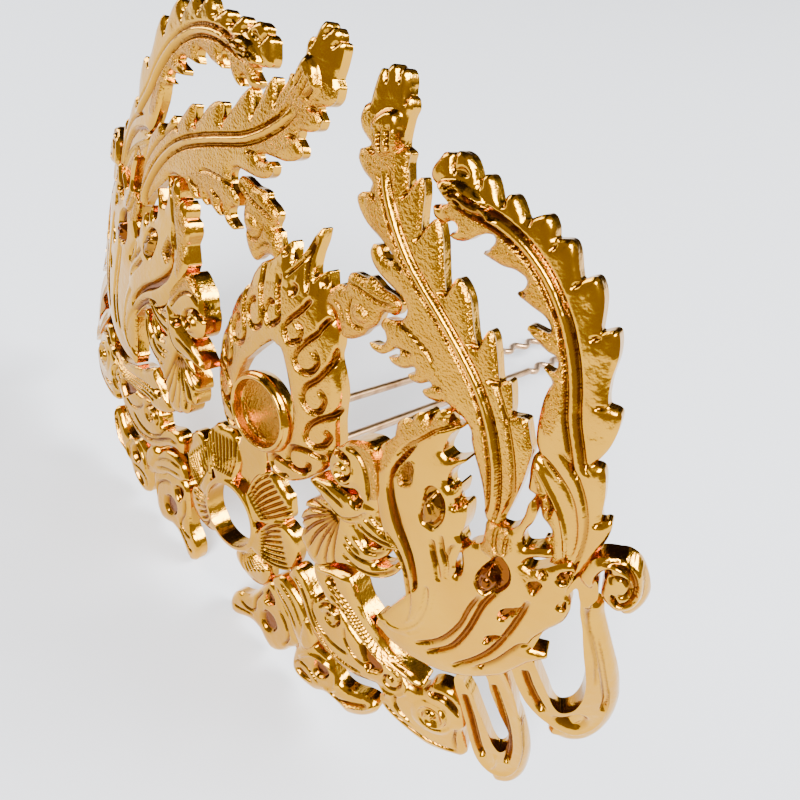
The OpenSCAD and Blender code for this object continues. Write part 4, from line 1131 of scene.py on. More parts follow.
        far_marks: tuple[Mark, ...] = (
            Grain([(38.4, 38.2), (41.0, 38.6), (42.6, 36.6), (42.4, 34.8), (40.4, 33.6), (38.8, 34.4)], 1.0),
            Grain([(45.0, 37.0), (47.4, 36.0), (48.4, 33.0), (46.8, 32.6), (44.8, 34.0)], 0.4),
            Stroke([(39.6, 38.0), (40.4, 35.8), (41.4, 34.8)], 0.7, -0.4),
            Stroke([(41.2, 38.4), (41.6, 36.6), (42.2, 35.2)], 0.6, -0.35),
            Pit([(41.4, 34.7), (42.3, 34.8), (43.5, 34.1), (44.4, 32.9), (44.7, 31.4), (44.2, 29.4),
                (43.0, 27.8), (41.4, 28.0), (40.5, 29.4), (40.6, 31.4), (41.0, 33.2)], -0.75, 0.4),
            Pit([(41.5, 32.7), (42.6, 32.4), (43.6, 31.4), (43.6, 29.9), (42.9, 28.5), (41.8, 28.4),
                (40.9, 29.4), (40.8, 31.0)], 1.5, 1.0),
            Curl((42.2, 30.4), 1.7, 100, -500, 0.5, -0.4),
            Stroke([(44.1, 29.9), (43.6, 28.0), (43.4, 25.9), (43.5, 23.3), (43.6, 19.8), (43.0, 15.6),
                (40.6, 11.6)], 1.1, -0.7, 2.0),
            Stroke([(42.4, 27.4), (42.2, 24.0), (42.3, 20.0), (41.2, 15.4), (38.6, 11.6)], 0.9, -0.5, 2.0),
            Stroke([(47.6, 31.3), (47.9, 28.5), (48.0, 25.5), (47.9, 22.4), (47.5, 19.3), (46.5, 16.3),
                (44.6, 12.5)], 1.1, -0.65, 2.0),
            Pit([(45.6, 25.9), (45.4, 26.9), (45.8, 28.0), (46.6, 28.9), (47.3, 29.7), (47.6, 29.2),
                (47.5, 28.0), (47.0, 27.1), (46.8, 26.1), (46.2, 25.5)], -0.8, 0.4),
            Pit([(46.0, 20.4), (45.9, 21.5), (46.4, 22.5), (47.3, 23.3), (47.7, 22.9), (47.2, 21.8),
                (46.9, 20.8), (46.4, 20.2)], -0.8, 0.4),
            Pit([(47.5, 16.3), (48.1, 16.3), (48.2, 15.7), (47.7, 15.5)], -0.5, 0.3),
            Pit([(46.5, 35.7), (46.6, 36.5), (47.3, 36.8), (47.9, 36.3), (47.6, 35.5),
                (47.0, 35.3)], -0.6, 0.35),
            Pit([(46.2, 33.5), (46.5, 34.3), (47.2, 34.9), (48.0, 34.6), (48.0, 33.6), (47.9, 32.7),
                (47.2, 32.5)], -0.7, 0.35),
            Pit([(48.6, 36.5), (48.5, 37.7), (49.0, 38.5), (49.5, 38.9), (50.1, 38.4), (50.3, 37.3),
                (50.2, 36.4), (49.4, 36.0)], -0.7, 0.4),
            Curl((49.4, 37.4), 0.8, 0, 300, 0.4, 0.4),
            Pit([(50.6, 32.6), (50.6, 33.3), (50.8, 34.1), (51.4, 34.1), (51.8, 33.4), (51.8, 32.6),
                (51.2, 32.4)], -0.7, 0.35),
            Stroke([(51.2, 24.2), (50.2, 23.6), (49.6, 21.6), (48.8, 18.4), (47.0, 14.6)], 0.8, -0.45, 2.0),
        )
        return [
            Layer(flight, 1.0, 0.35, 3.0, back=-1.5, marks=far_marks),
            Layer(covert, 1.25, 0.35, 2.4, back=-1.5, marks=near_marks),
        ]


@dataclass
class Head(Casting):
    """The bird's head: brow, bill, ruff, cheek and breast."""

    def layers(self) -> list[Layer]:
        """Breast, ruff, cheek, the crown of the head with its rolled brow, and the bill."""
        breast = [
            (25.4, 12.8, 1), (23.6, 11.9), (22.0, 10.9), (20.4, 9.9), (18.8, 8.6), (19.0, 7.4), (19.8, 6.4),
            (21.0, 5.6), (22.8, 4.7), (24.5, 4.4), (26.0, 4.9), (28.6, 3.9), (31.5, 3.1), (34.0, 2.5),
            (36.5, 2.3), (39.5, 2.9), (42.5, 4.0), (42.8, 4.9), (39.5, 5.2), (36.5, 5.9), (33.8, 7.2),
            (31.9, 8.4), (30.5, 9.0), (29.2, 9.6), (27.9, 10.7), (26.6, 12.0),
        ]
        ruff = [
            (19.5, 22.0), (17.2, 21.4), (15.5, 20.0), (13.9, 18.6), (13.2, 17.2), (13.7, 16.2, 1),
            (13.3, 15.0), (13.4, 13.6), (14.5, 13.0, 1), (14.4, 11.6), (14.9, 10.4), (16.0, 9.8, 1),
            (17.0, 8.9), (18.4, 8.5), (20.0, 9.0), (21.0, 10.4), (22.2, 12.0), (23.6, 13.4), (25.2, 14.4),
            (26.6, 14.8), (28.4, 15.7), (30.2, 17.6), (31.2, 19.6), (31.5, 21.4), (30.6, 21.2), (29.8, 19.6),
            (28.4, 18.4), (27.6, 18.6), (28.4, 19.8), (28.9, 21.4), (28.7, 22.7), (27.8, 22.1), (27.0, 20.9),
            (25.8, 20.2), (24.6, 20.6), (23.6, 21.6), (21.6, 22.4),
        ]
        cheek = [
            (22.4, 21.6), (24.2, 21.4), (26.2, 21.7), (28.4, 22.5), (30.3, 23.9), (30.6, 24.6), (29.6, 24.9),
            (28.0, 24.7), (26.6, 24.9), (25.6, 26.0), (24.8, 27.4), (23.6, 28.0), (22.4, 27.2), (22.0, 25.0),
        ]
        bill = [
            (12.3, 21.6, 1), (13.0, 22.6), (14.0, 23.2), (16.0, 24.4), (18.0, 24.9), (20.0, 25.4),
            (22.0, 26.6), (23.4, 27.2), (24.7, 27.0), (24.4, 25.4), (23.8, 24.0), (23.0, 22.6), (22.0, 21.2),
            (20.5, 20.4), (18.5, 20.2), (17.0, 20.7), (15.2, 21.1), (13.6, 21.4),
        ]
        crown = [
            (14.4, 28.6), (14.7, 30.2), (15.6, 31.6), (16.0, 32.6), (16.8, 33.6), (18.0, 34.5), (19.4, 35.3),
            (20.6, 35.4), (21.8, 34.2), (22.8, 32.6), (23.8, 30.6), (24.6, 28.6), (24.8, 27.0), (23.4, 26.2),
            (21.8, 26.2), (20.6, 26.8), (19.6, 26.2), (18.2, 25.3), (16.6, 25.3), (15.2, 26.2), (14.5, 27.4),
        ]
        fan: tuple[Mark, ...] = tuple(
            Stroke([(19.6 + 0.4 * math.cos(a), 20.5), (19.4 + 5.2 * math.cos(a), 20.0 + 5.4 * math.sin(a)),
                (19.0 + 8.8 * math.cos(a + 0.12), 20.4 + 10.6 * math.sin(a + 0.12))], 0.85, -0.5)
            for a in (math.radians(d) for d in (196, 208, 221, 234, 247, 260, 273, 286))
        )
        hooks: tuple[Mark, ...] = (
            *strokes(0.7, -0.45, [
                [(22.5, 15.5), (25.5, 15.2), (28.2, 16.6), (30.2, 18.9), (31.0, 20.8)],
                [(22.0, 17.4), (24.6, 17.0), (27.2, 18.0)],
            ]),
            *strokes(0.6, -0.4, [
                [(22.8, 20.0), (25.5, 19.2), (27.4, 20.2), (28.4, 22.0)],
                [(21.6, 18.8), (23.4, 18.2), (25.4, 18.1)],
            ]),
        )
        stripes: tuple[Mark, ...] = (
            Comb([(21.6, 8.6), (26.5, 7.8), (31.0, 6.2), (35.5, 4.9), (41.5, 4.5)],
                [(24.4, 5.0), (27.5, 4.6), (32.0, 3.4), (36.5, 2.8), (40.5, 3.3)], 4, 0.6, -0.4),
            Stroke([(25.6, 12.2), (28.0, 10.0), (31.0, 8.2), (34.5, 6.4)], 0.7, 0.4),
            Pit([(22.6, 9.7), (23.9, 9.2), (24.2, 8.0), (23.2, 7.3), (21.9, 7.6), (21.5, 8.8)], -0.6, 0.6),
            Stroke([(19.6, 8.2), (21.2, 9.4), (23.4, 10.6), (25.4, 11.6)], 0.7, 0.35),
        )
        face: tuple[Mark, ...] = (
            Stroke([(13.2, 21.9), (15.4, 22.7), (17.6, 22.9), (20.0, 23.0)], 0.6, -0.35),
            Pit([(20.4, 26.2), (21.8, 26.4), (22.5, 25.4), (21.8, 24.3), (20.5, 24.3),
                (19.9, 25.2)], -1.0, 0.7),
            Stroke([(17.0, 21.0), (19.6, 20.8), (21.4, 22.0), (22.6, 23.6), (23.4, 25.4)], 0.6, -0.35),
        )
        brow: tuple[Mark, ...] = (
            Curl((17.2, 28.1), 2.4, 150, -520, 0.85, 0.55),
            Curl((17.2, 28.1), 3.0, 150, -250, 0.7, -0.6),
            Stroke([(16.4, 31.9), (18.4, 32.6), (20.4, 31.6), (22.0, 29.4), (23.0, 27.2)], 0.8, -0.5),
            Stroke([(16.6, 33.0), (18.8, 34.2), (20.6, 34.4), (22.4, 32.0), (24.0, 28.6)], 0.6, 0.45),
            Grain([(16.4, 32.6), (19.6, 35.2), (22.4, 32.8), (24.2, 28.8), (22.8, 28.0), (20.6, 31.2),
                (18.4, 32.6)], 1.0),
        )
        plume = (Comb([(22.8, 22.6), (25.6, 22.6), (29.6, 24.0)],
            [(22.8, 26.0), (24.2, 25.4), (26.4, 24.4)], 3, 0.6, -0.4),)
        return [
            Layer(breast, 1.0, 0.5, 1.6, back=-2.3, marks=stripes, drop=0.4),
            Layer(ruff, 1.0, 0.5, 2.2, back=-2.2, marks=fan + hooks, drop=0.35),
            Layer(cheek, 1.1, 0.45, 1.4, back=-2.2, marks=plume, drop=0.35),
            Layer(crown, 1.2, 0.45, 2.0, back=-2.2, marks=brow, drop=0.35),
            Layer(bill, 1.3, 0.6, 1.6, back=-2.2, marks=face, drop=0.4),
        ]


@dataclass
class CloudBand(Casting):
    """The swirling band under the wing: the upper swirls, the lower lobes, the foot, scroll and link."""

    def layers(self) -> list[Layer]:
        """Each swirl of the band."""
        upper = [
            (14.9, 1.3, 1), (17.0, 0.9), (19.0, -0.5), (21.0, -2.6), (23.0, -4.3), (25.5, -5.4), (28.0, -5.8),
            (30.8, -5.5), (33.4, -4.6), (35.6, -3.2), (37.4, -2.2), (38.6, -3.2), (38.2, -4.6), (39.4, -5.5),
            (41.0, -6.1), (44.5, -6.5), (48.0, -6.6), (50.5, -5.9), (53.6, -4.5, 1), (53.9, -3.2),
            (52.8, -1.2), (51.5, 0.7), (51.2, 2.4), (50.4, 4.0), (49.0, 6.4), (47.0, 7.7), (45.0, 7.2),
            (43.8, 5.8), (43.4, 3.8), (42.0, 2.9), (39.6, 3.2), (37.6, 3.6), (35.0, 3.2), (32.0, 3.0),
            (29.4, 3.6), (27.4, 4.6), (24.8, 5.0), (22.8, 4.2), (21.8, 2.4), (20.6, 2.6), (18.6, 4.0),
            (16.8, 4.6), (15.4, 3.6),
        ]
        lower = [
            (12.3, -3.0, 1), (13.4, -4.3), (15.0, -5.3), (17.5, -6.3), (19.0, -7.8), (20.3, -9.0),
            (21.9, -10.2), (21.7, -11.8), (22.0, -14.5), (22.6, -16.2), (24.0, -17.1), (26.5, -16.9),
            (28.5, -16.1), (29.8, -14.8), (31.0, -14.1), (33.0, -13.9), (35.0, -14.0), (36.5, -13.0),
            (37.8, -11.5), (38.9, -9.4), (39.2, -7.4), (38.3, -6.5), (36.6, -7.0), (34.0, -8.8), (31.6, -9.0),
            (29.6, -7.4), (28.0, -6.2), (25.6, -6.6), (23.6, -6.2), (22.0, -4.2), (20.2, -2.0), (18.0, -0.8),
            (15.6, -0.4), (13.6, -1.0),
        ]
        foot = [
            (12.0, -4.6), (10.9, -7.0), (9.8, -10.0), (8.8, -12.0), (7.6, -13.2), (6.5, -14.0), (5.6, -15.2),
            (5.2, -16.8), (5.4, -18.4), (6.4, -19.7), (8.0, -19.3), (9.8, -17.8), (11.5, -16.7),
            (13.5, -16.5), (15.5, -17.5), (17.5, -17.8), (19.4, -16.2), (20.7, -13.4), (21.7, -11.6),
            (22.2, -9.6), (21.0, -8.2), (19.2, -7.0), (17.4, -5.6), (15.6, -4.6), (13.8, -3.8),
        ]
        scroll = [(46.5, 3.9), (48.8, 3.1), (50.2, 1.2), (50.2, -1.2), (48.8, -3.0), (46.6, -3.7),
            (44.2, -3.2), (42.8, -1.4), (42.6, 0.9), (44.0, 2.9)]
        link = [(21.0, -4.4), (22.4, -3.4), (24.0, -4.4), (25.0, -6.6), (24.6, -8.8), (23.2, -9.8),
            (21.8, -8.8), (21.2, -6.6)]
        ripples: tuple[Mark, ...] = (
            Stroke([(16.2, 2.4), (18.2, 1.8), (20.2, 0.2), (22.2, -1.8), (24.4, -3.3), (27.4, -4.3),
                (30.8, -4.0), (34.0, -2.8)], 0.8, -0.5),
            Curl((25.3, 2.0), 2.5, 190, -470, 0.7, -0.55),
            Curl((25.3, 2.0), 1.9, 190, -470, 0.7, 0.35),
            *strokes(0.7, -0.45, [
                [(20.8, 2.2), (21.8, -0.2), (24.2, -1.9), (27.6, -2.4), (30.8, -1.6)],
                [(28.0, 2.6), (29.4, 0.4), (32.0, -0.8), (35.2, -0.4)],
            ]),
            Pit([(31.5, 2.5), (34.0, 2.6), (36.6, 2.0), (36.8, 0.5), (35.6, -0.9), (34.6, -1.4),
                (33.0, 0.4)], -0.8, 0.5),
            Curl((38.4, 0.9), 1.9, 60, -430, 0.7, -0.5),
            Stroke([(37.0, -2.4), (39.6, -1.6), (41.2, 0.6), (41.0, 2.4)], 0.7, 0.4),
            Pit([(43.9, 4.4), (45.4, 6.0), (47.4, 6.2), (49.0, 5.0), (49.8, 3.4), (48.4, 4.0), (46.4, 4.6),
                (44.8, 3.9)], -0.9, 0.5),
            Pit([(40.5, -0.3), (41.0, -2.2), (42.4, -3.2), (44.0, -3.8), (45.6, -4.2), (43.2, -4.3),
                (41.0, -3.6), (39.8, -1.8)], -0.7, 0.5),
            Stroke([(39.2, -4.6), (42.4, -5.2), (46.4, -5.4), (50.4, -4.6), (52.6, -3.6)], 0.8, -0.45),
            Stroke([(52.2, -3.4), (51.0, -1.4), (50.4, 0.8)], 0.7, -0.45),
            Grain([(24.0, -2.6), (30.0, -3.4), (34.0, -2.6), (36.0, -2.8), (30.0, -5.0), (25.0, -4.6)], 0.5),
        )
        folds: tuple[Mark, ...] = (
            Stroke([(13.8, -3.4), (16.2, -4.4), (18.6, -5.8), (20.6, -7.4)], 0.7, -0.45),
            Stroke([(14.2, -1.8), (17.2, -2.6), (19.6, -4.2), (21.4, -6.2)], 0.6, -0.35),
            Pit([(26.0, -9.0), (28.2, -8.6), (29.6, -9.6), (29.2, -11.6), (27.6, -12.6),
                (26.2, -11.6)], -0.8, 0.5),
            Pit([(23.4, -15.7), (24.2, -14.4), (25.6, -14.2), (27.5, -14.8), (26.2, -15.9),
                (24.6, -16.3)], -0.6, 0.4),
            Stroke([(37.5, -8.6), (35.6, -10.6), (33.0, -12.8), (30.6, -13.0)], 1.0, -0.65),
            Stroke([(23.2, -12.4), (24.6, -9.6), (27.4, -8.0), (30.4, -8.8), (31.4, -11.4),
                (29.6, -13.6)], 0.8, 0.45),
            Stroke([(22.8, -15.0), (23.6, -13.2), (25.8, -12.9), (28.6, -13.8)], 0.6, -0.4),
            Stroke([(38.4, -7.4), (37.2, -9.6), (35.2, -11.8), (32.8, -13.2)], 0.6, 0.35),
        )
        claws: tuple[Mark, ...] = (
            Pit([(12.4, -5.6), (14.2, -6.0), (15.0, -7.4), (14.0, -9.0), (12.6, -9.4),
                (12.0, -7.6)], -0.9, 0.5),
            Pit([(13.4, -10.4), (15.6, -10.0), (17.2, -11.6), (16.8, -14.0), (15.0, -15.2), (13.2, -14.2),
                (12.6, -12.2)], -0.7, 0.9),
            Stroke([(11.6, -7.6), (10.8, -10.8), (11.2, -13.6), (9.4, -14.8), (7.6, -14.8)], 0.8, -0.45),
            Stroke([(6.2, -17.6), (7.6, -17.2), (9.6, -16.0), (11.4, -15.0)], 0.7, -0.4),
            Stroke([(16.0, -7.4), (18.2, -8.8), (19.8, -11.0), (19.4, -14.0)], 0.8, -0.45),
        )
        roll = (Curl((46.4, 0.1), 3.0, 80, -520, 1.0, -0.6), Curl((46.4, 0.1), 2.3, 80, -420, 0.8, 0.45))
        return [
            Layer(foot, 0.2, 0.45, 1.8, back=-1.9, marks=claws, drop=0.4),
            Layer(lower, 0.3, 0.5, 2.0, back=-2.0, marks=folds, drop=0.4),
            Layer(upper, 0.45, 0.45, 2.0, back=-2.1, marks=ripples, drop=0.4),
            Layer(scroll, 0.7, 0.5, 1.8, back=-2.1, marks=roll, drop=0.4),
            Layer(link, 0.5, 0.6, 1.3, back=-1.9, drop=0.4),
        ]


@dataclass
class SmallLoop(Casting):
    """The narrow ribbon loop over the end of the cloud band."""

    def openings(self) -> list[np.ndarray]:
        """The slot between the two strands."""
        slot = [
            (47.0, 11.4), (48.6, 9.8), (49.7, 8.9), (51.7, 6.6), (53.9, 4.1), (55.9, 1.7), (57.5, 0.5),
            (58.1, 1.6), (57.4, 4.0), (55.6, 6.7), (53.7, 9.1), (51.8, 11.2), (50.6, 12.6), (49.5, 14.2),
            (48.0, 15.0),
        ]
        return [Lift(0.7)(flow(slot, closed=True))]

    def layers(self) -> list[Layer]:
        """The dished ribbon, and its flank behind it."""
        edge = [
            (48.2, 17.4), (49.8, 17.8), (50.9, 16.9), (52.2, 15.6), (54.1, 13.4), (55.9, 10.8), (58.2, 6.8),
            (60.2, 2.9), (61.3, -0.3), (61.9, -3.2), (61.2, -5.3), (59.4, -5.7), (57.3, -4.8), (55.2, -3.0),
            (53.1, -0.2), (51.8, 1.8), (50.7, 3.5), (48.7, 6.3), (46.6, 9.0), (45.8, 10.8), (46.6, 12.6),
        ]
        marks: tuple[Mark, ...] = (
            Stroke([(50.6, 13.8), (53.0, 10.9), (55.6, 7.4), (57.9, 3.4), (59.2, 0.2),
                (59.6, -1.6)], 1.1, -1.0, 1.0),
            Stroke([(48.2, 8.6), (50.6, 5.6), (52.4, 3.0), (54.4, 0.0), (56.2, -2.2)], 1.2, -1.0, 1.0),
            Stroke([(57.4, -0.6), (58.2, -2.6), (58.4, -4.4)], 0.7, 0.3, 0.8),
        )
        flank = [
            (51.0, 17.0), (52.8, 15.4), (55.2, 13.0), (57.9, 9.5), (60.4, 5.4), (61.8, 2.1), (62.7, -1.4),
            (62.4, -4.1), (61.2, -5.6), (59.2, -5.8), (58.6, -3.0), (59.6, 1.0), (56.6, 6.4), (53.0, 11.6),
            (50.6, 14.8),
        ]
        return [
            Layer(flank, -0.9, 0.9, 1.4, back=-1.6, drop=0.3),
            Layer(edge, 0.9, -0.35, 1.3, back=-1.6, marks=marks, drop=0.15, shoulder=0.3),
        ]


@dataclass
class LargeLoop(Casting):
    """The wide ribbon loop at the side, open in the middle, with a dished bowl and a curled end."""

    def openings(self) -> list[np.ndarray]:
        """The eye of the loop."""
        eye = [
            (51.8, 23.2), (53.1, 21.7), (55.3, 19.3), (57.1, 17.4), (59.0, 15.3), (60.6, 14.5), (61.8, 15.8),
            (61.7, 18.4), (60.7, 21.3), (59.2, 24.1), (57.6, 26.7), (56.2, 29.1), (54.9, 31.4), (53.5, 33.5),
            (52.3, 35.6), (51.0, 36.0),
        ]
        return [Lift(0.8)(flow(eye, closed=True))]

    def layers(self) -> list[Layer]:
        """The ribbon and the curl at its end, each with its flank behind it."""
        ribbon = [
            (50.6, 19.6), (51.9, 17.7), (53.6, 15.7), (55.4, 14.0), (57.0, 12.9), (58.6, 12.0), (60.2, 11.3),
            (62.4, 10.5), (64.6, 10.2), (66.2, 11.4), (66.9, 14.0), (66.2, 17.0), (64.7, 20.2), (63.1, 22.6),
            (61.2, 25.4), (58.8, 28.7), (57.0, 30.8), (55.2, 32.8), (53.9, 35.0), (53.9, 37.2), (52.4, 39.4),
            (50.6, 38.6), (50.6, 34.0), (51.0, 28.0), (50.4, 23.0),
        ]
        curl = [
            (53.9, 37.9), (54.8, 37.1), (55.6, 36.7), (56.5, 36.5), (57.3, 36.9), (57.9, 37.7), (58.1, 38.6),
            (58.0, 39.6), (57.6, 40.7), (57.1, 41.7), (56.4, 42.8), (55.6, 43.4), (54.8, 43.7), (54.0, 43.9),
            (53.3, 43.8), (52.7, 43.6), (51.9, 43.2), (51.2, 42.6), (50.8, 41.8), (50.6, 40.5), (50.6, 38.8),
            (51.6, 38.0), (52.6, 37.9), (52.6, 38.8), (52.3, 39.9), (52.4, 41.0), (52.8, 41.8, 1),
            (53.2, 41.2), (53.3, 40.0), (53.6, 38.8),
        ]
        marks: tuple[Mark, ...] = (
            Pit([(59.6, 13.4), (61.0, 13.9), (62.6, 15.6), (64.6, 15.2), (65.4, 13.4), (64.6, 11.6),
                (62.6, 11.5), (60.6, 12.2)], -1.0, 1.4),
            Stroke([(52.6, 19.6), (54.6, 17.2), (56.6, 15.2), (58.4, 13.6)], 1.3, -1.0, 1.0),
            Stroke([(53.6, 35.0), (55.3, 32.6), (57.7, 29.8), (60.0, 26.7), (62.4, 23.2), (64.3, 20.2),
                (65.2, 17.6)], 1.1, -0.9, 1.5),
            Stroke([(54.4, 33.0), (56.8, 29.9), (59.2, 26.6), (61.4, 22.6)], 0.5, -0.25, 1.0),
        )
        roll = (
            Stroke([(52.0, 42.2), (53.2, 42.9), (54.6, 42.9), (55.7, 42.2), (56.6, 41.0), (57.1, 39.6),
                (56.9, 38.4), (56.2, 37.8), (55.3, 38.2), (54.9, 38.9)], 0.9, -0.8),
            Stroke([(53.9, 40.1), (53.8, 41.0), (54.3, 41.7), (55.1, 41.6), (56.0, 40.9), (56.2, 39.9),
                (55.9, 39.2), (55.3, 39.2)], 0.7, -0.6),
        )
        flank = [
            (60.8, 10.4), (62.0, 9.9), (63.3, 9.7), (64.6, 10.0), (65.6, 10.6), (66.4, 11.6), (66.9, 13.0),
            (67.1, 14.5), (67.0, 16.3), (66.7, 18.0), (66.1, 20.0), (65.3, 22.0), (64.2, 24.0), (63.0, 26.0),
            (61.6, 28.0), (60.0, 30.0), (58.5, 31.9), (57.0, 33.8), (55.6, 35.6), (54.6, 37.2), (52.6, 37.0),
            (54.0, 32.6), (57.6, 27.4), (60.6, 21.6), (60.8, 16.0),
        ]
        curl_flank = [
            (50.8, 42.0), (51.2, 43.8), (52.0, 44.9), (53.0, 45.6), (54.2, 45.6), (55.5, 44.9), (56.9, 43.5),
            (58.0, 41.9), (58.5, 40.3), (58.5, 38.6), (58.0, 37.2), (56.6, 37.0), (55.0, 40.0), (52.8, 41.6),
        ]
        return [
            Layer(flank, -0.9, 0.9, 1.6, back=-1.8, drop=0.3),
            Layer(curl_flank, -0.9, 0.9, 1.6, back=-1.8, drop=0.3),
            Layer(ribbon, 0.9, -0.3, 1.2, back=-1.8, marks=marks, drop=0.15, shoulder=0.3),
            Layer(curl, 1.0, 0.4, 1.4, back=-1.8, marks=roll, drop=0.35),
        ]


@dataclass
class Flower(Casting):
    """Six fanned petals around an open collar."""

    whole: bool = True
    hole_r: float = 5.9
    collar_r: float = 6.9
    middle: tuple[float, float] = (0.0, 1.2)
    back: float = -2.4
    flute_width: float = 0.7
    flute_depth: float = -0.55

    def ring(self, radius: float) -> Points:
        """Points on a circle round the flower's middle."""
        steps = (2 * math.pi * k / 32 for k in range(32))
        return [(self.middle[0] + radius * math.cos(a), self.middle[1] + radius * math.sin(a)) for a in steps]

    def openings(self) -> list[np.ndarray]:
        """The round hole."""
        return [flow(self.ring(self.hole_r), closed=True)]

    def petal(self, outline: Points, height: float, tilt: tuple[float, float],
              flutes: tuple[Points, Points, int]) -> Layer:
        """One petal, with its first flute, its last one and how many there are."""
        marks = (Comb(*flutes, self.flute_width, self.flute_depth),)
        return Layer(outline, height, 0.35, 2.0, tilt, self.back, marks, drop=0.35)

    def layers(self) -> list[Layer]:
        """Three petals a side, the top ones lowest, and the collar over their roots."""
        upper = [
            (2.0, 6.0), (1.9, 8.5), (1.9, 11.0), (2.3, 12.8), (3.1, 14.2), (4.4, 15.4), (6.2, 15.8),
            (8.0, 15.1), (9.8, 14.5), (10.7, 13.0), (11.3, 11.5), (10.8, 10.2), (8.6, 7.6), (5.6, 5.4),
        ]
        right = [
            (5.6, 1.0), (6.4, 3.4), (7.2, 5.6), (8.2, 7.6), (9.6, 9.0), (11.5, 9.5), (13.5, 8.9), (14.8, 7.1),
            (15.3, 4.8), (15.1, 2.4), (13.9, 0.4), (11.7, -1.0), (9.0, -1.5), (6.4, -1.0),
        ]
        below = [
            (5.0, -1.6), (4.4, -3.4), (3.4, -4.8), (3.0, -6.2), (3.8, -7.7), (5.6, -8.6), (8.2, -8.9),
            (10.4, -7.9), (11.7, -6.0), (11.7, -3.8), (10.7, -1.8), (8.6, -1.0), (6.4, -0.8),
        ]
        on_upper = ([(2.6, 8.6), (3.0, 12.0), (4.6, 15.0)], [(6.4, 6.8), (8.8, 9.4), (11.0, 12.4)], 8)
        on_below = ([(7.2, -1.4), (9.2, -2.0), (11.4, -2.4)], [(4.6, -4.4), (5.0, -6.6), (6.2, -8.4)], 7)
        on_right = ([(7.4, 4.2), (8.6, 6.8), (10.4, 9.0)], [(8.4, -0.8), (11.4, -0.2), (14.6, 1.6)], 9)
        return [
            self.petal(upper, -0.3, (-0.06, -0.14), on_upper),
            self.petal(below, -0.1, (-0.05, 0.12), on_below),
            self.petal(right, 0.1, (-0.14, 0.02), on_right),
            Layer(self.ring(self.collar_r), 0.85, 0.15, 0.5, back=self.back, seen=False),
        ]


def turned(name: str, profile: Points, middle: tuple[float, float], around: int = 96) -> bpy.types.Object:
    """A ring or dish turned about a line square to the middle of the plate.

    Args:
        name: the piece's name.
        profile: rows of radius and height over the front face.
        middle: where its centre lies, across and up.
        around: short sides round it.

    Returns:
        The closed piece, in place.
    """
    line = flow(profile, steps=4)
    obj = grid(name, around, len(line) - 1)
    co = corners(obj)
    turn = (co[:, 0] + 0.5) * 2 * math.pi
    row = np.rint((co[:, 1] + 0.5) * (len(line) - 1)).astype(int)
    r, h = line[row].T
    upright = PLATE.upright(middle[0] + 0 * r, middle[1] + r * np.sin(turn), h)
    upright[:, 0] = middle[0] + r * np.cos(turn)
    set_corners(obj, PLATE.stand(upright))
    return obj


@dataclass
class StoneCup:
    """The round setting in the middle of the medallion, empty, with a rough dished floor."""

    gold: bpy.types.Material
    name: str = "stone_cup"
    middle: tuple[float, float] = (0.0, 25.0)
    inner_r: float = 5.4
    wall: float = 0.7
    rise: float = 1.4
    floor: float = -0.6
    back: float = -1.6
    floor_shade: float = 0.35
    floor_inset: float = 0.25
    rim_band_m: float = 0.0006

    def build(self) -> list[bpy.types.Object]:
        """Turns the cup, marks its floor as rough and paints shade on it."""
        r, w, top = self.inner_r, self.wall, self.rise
        profile = [
            (0.0, self.back, 1), (r + w, self.back, 1), (r + w + 0.5, 0.2), (r + w + 0.1, top - 0.5),
            (r + w * 0.85, top - 0.1), (r + w * 0.5, top), (r + w * 0.15, top - 0.1), (r, top - 0.4),
            (r - 0.05, 0.1), (r - 0.3, self.floor + 0.15), (r - 0.9, self.floor),
            (r * 0.5, self.floor - 0.1), (0.0, self.floor - 0.15, 1),
        ]
        obj = turned(self.name, profile, self.middle)
        co = corners(obj)
        out = np.hypot(co[:, 0] * 1000, (co[:, 2] - co[:, 2].mean()) * 1000)
        inside = (out < r - self.floor_inset) & (co[:, 1] < co[out < r, 1].max() - self.rim_band_m)
        note(obj, "grain", np.where(inside, 1.0, 0.0))
        # painted shade on the cup's sunk floor
        note(obj, "hollow_shade", np.where(inside, self.floor_shade, 0.0))
        close_up(obj)
        obj.data.materials.append(self.gold)
        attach(obj, "root")
        log.info("%s: %d faces", obj.name, len(obj.data.polygons))
        return [obj]


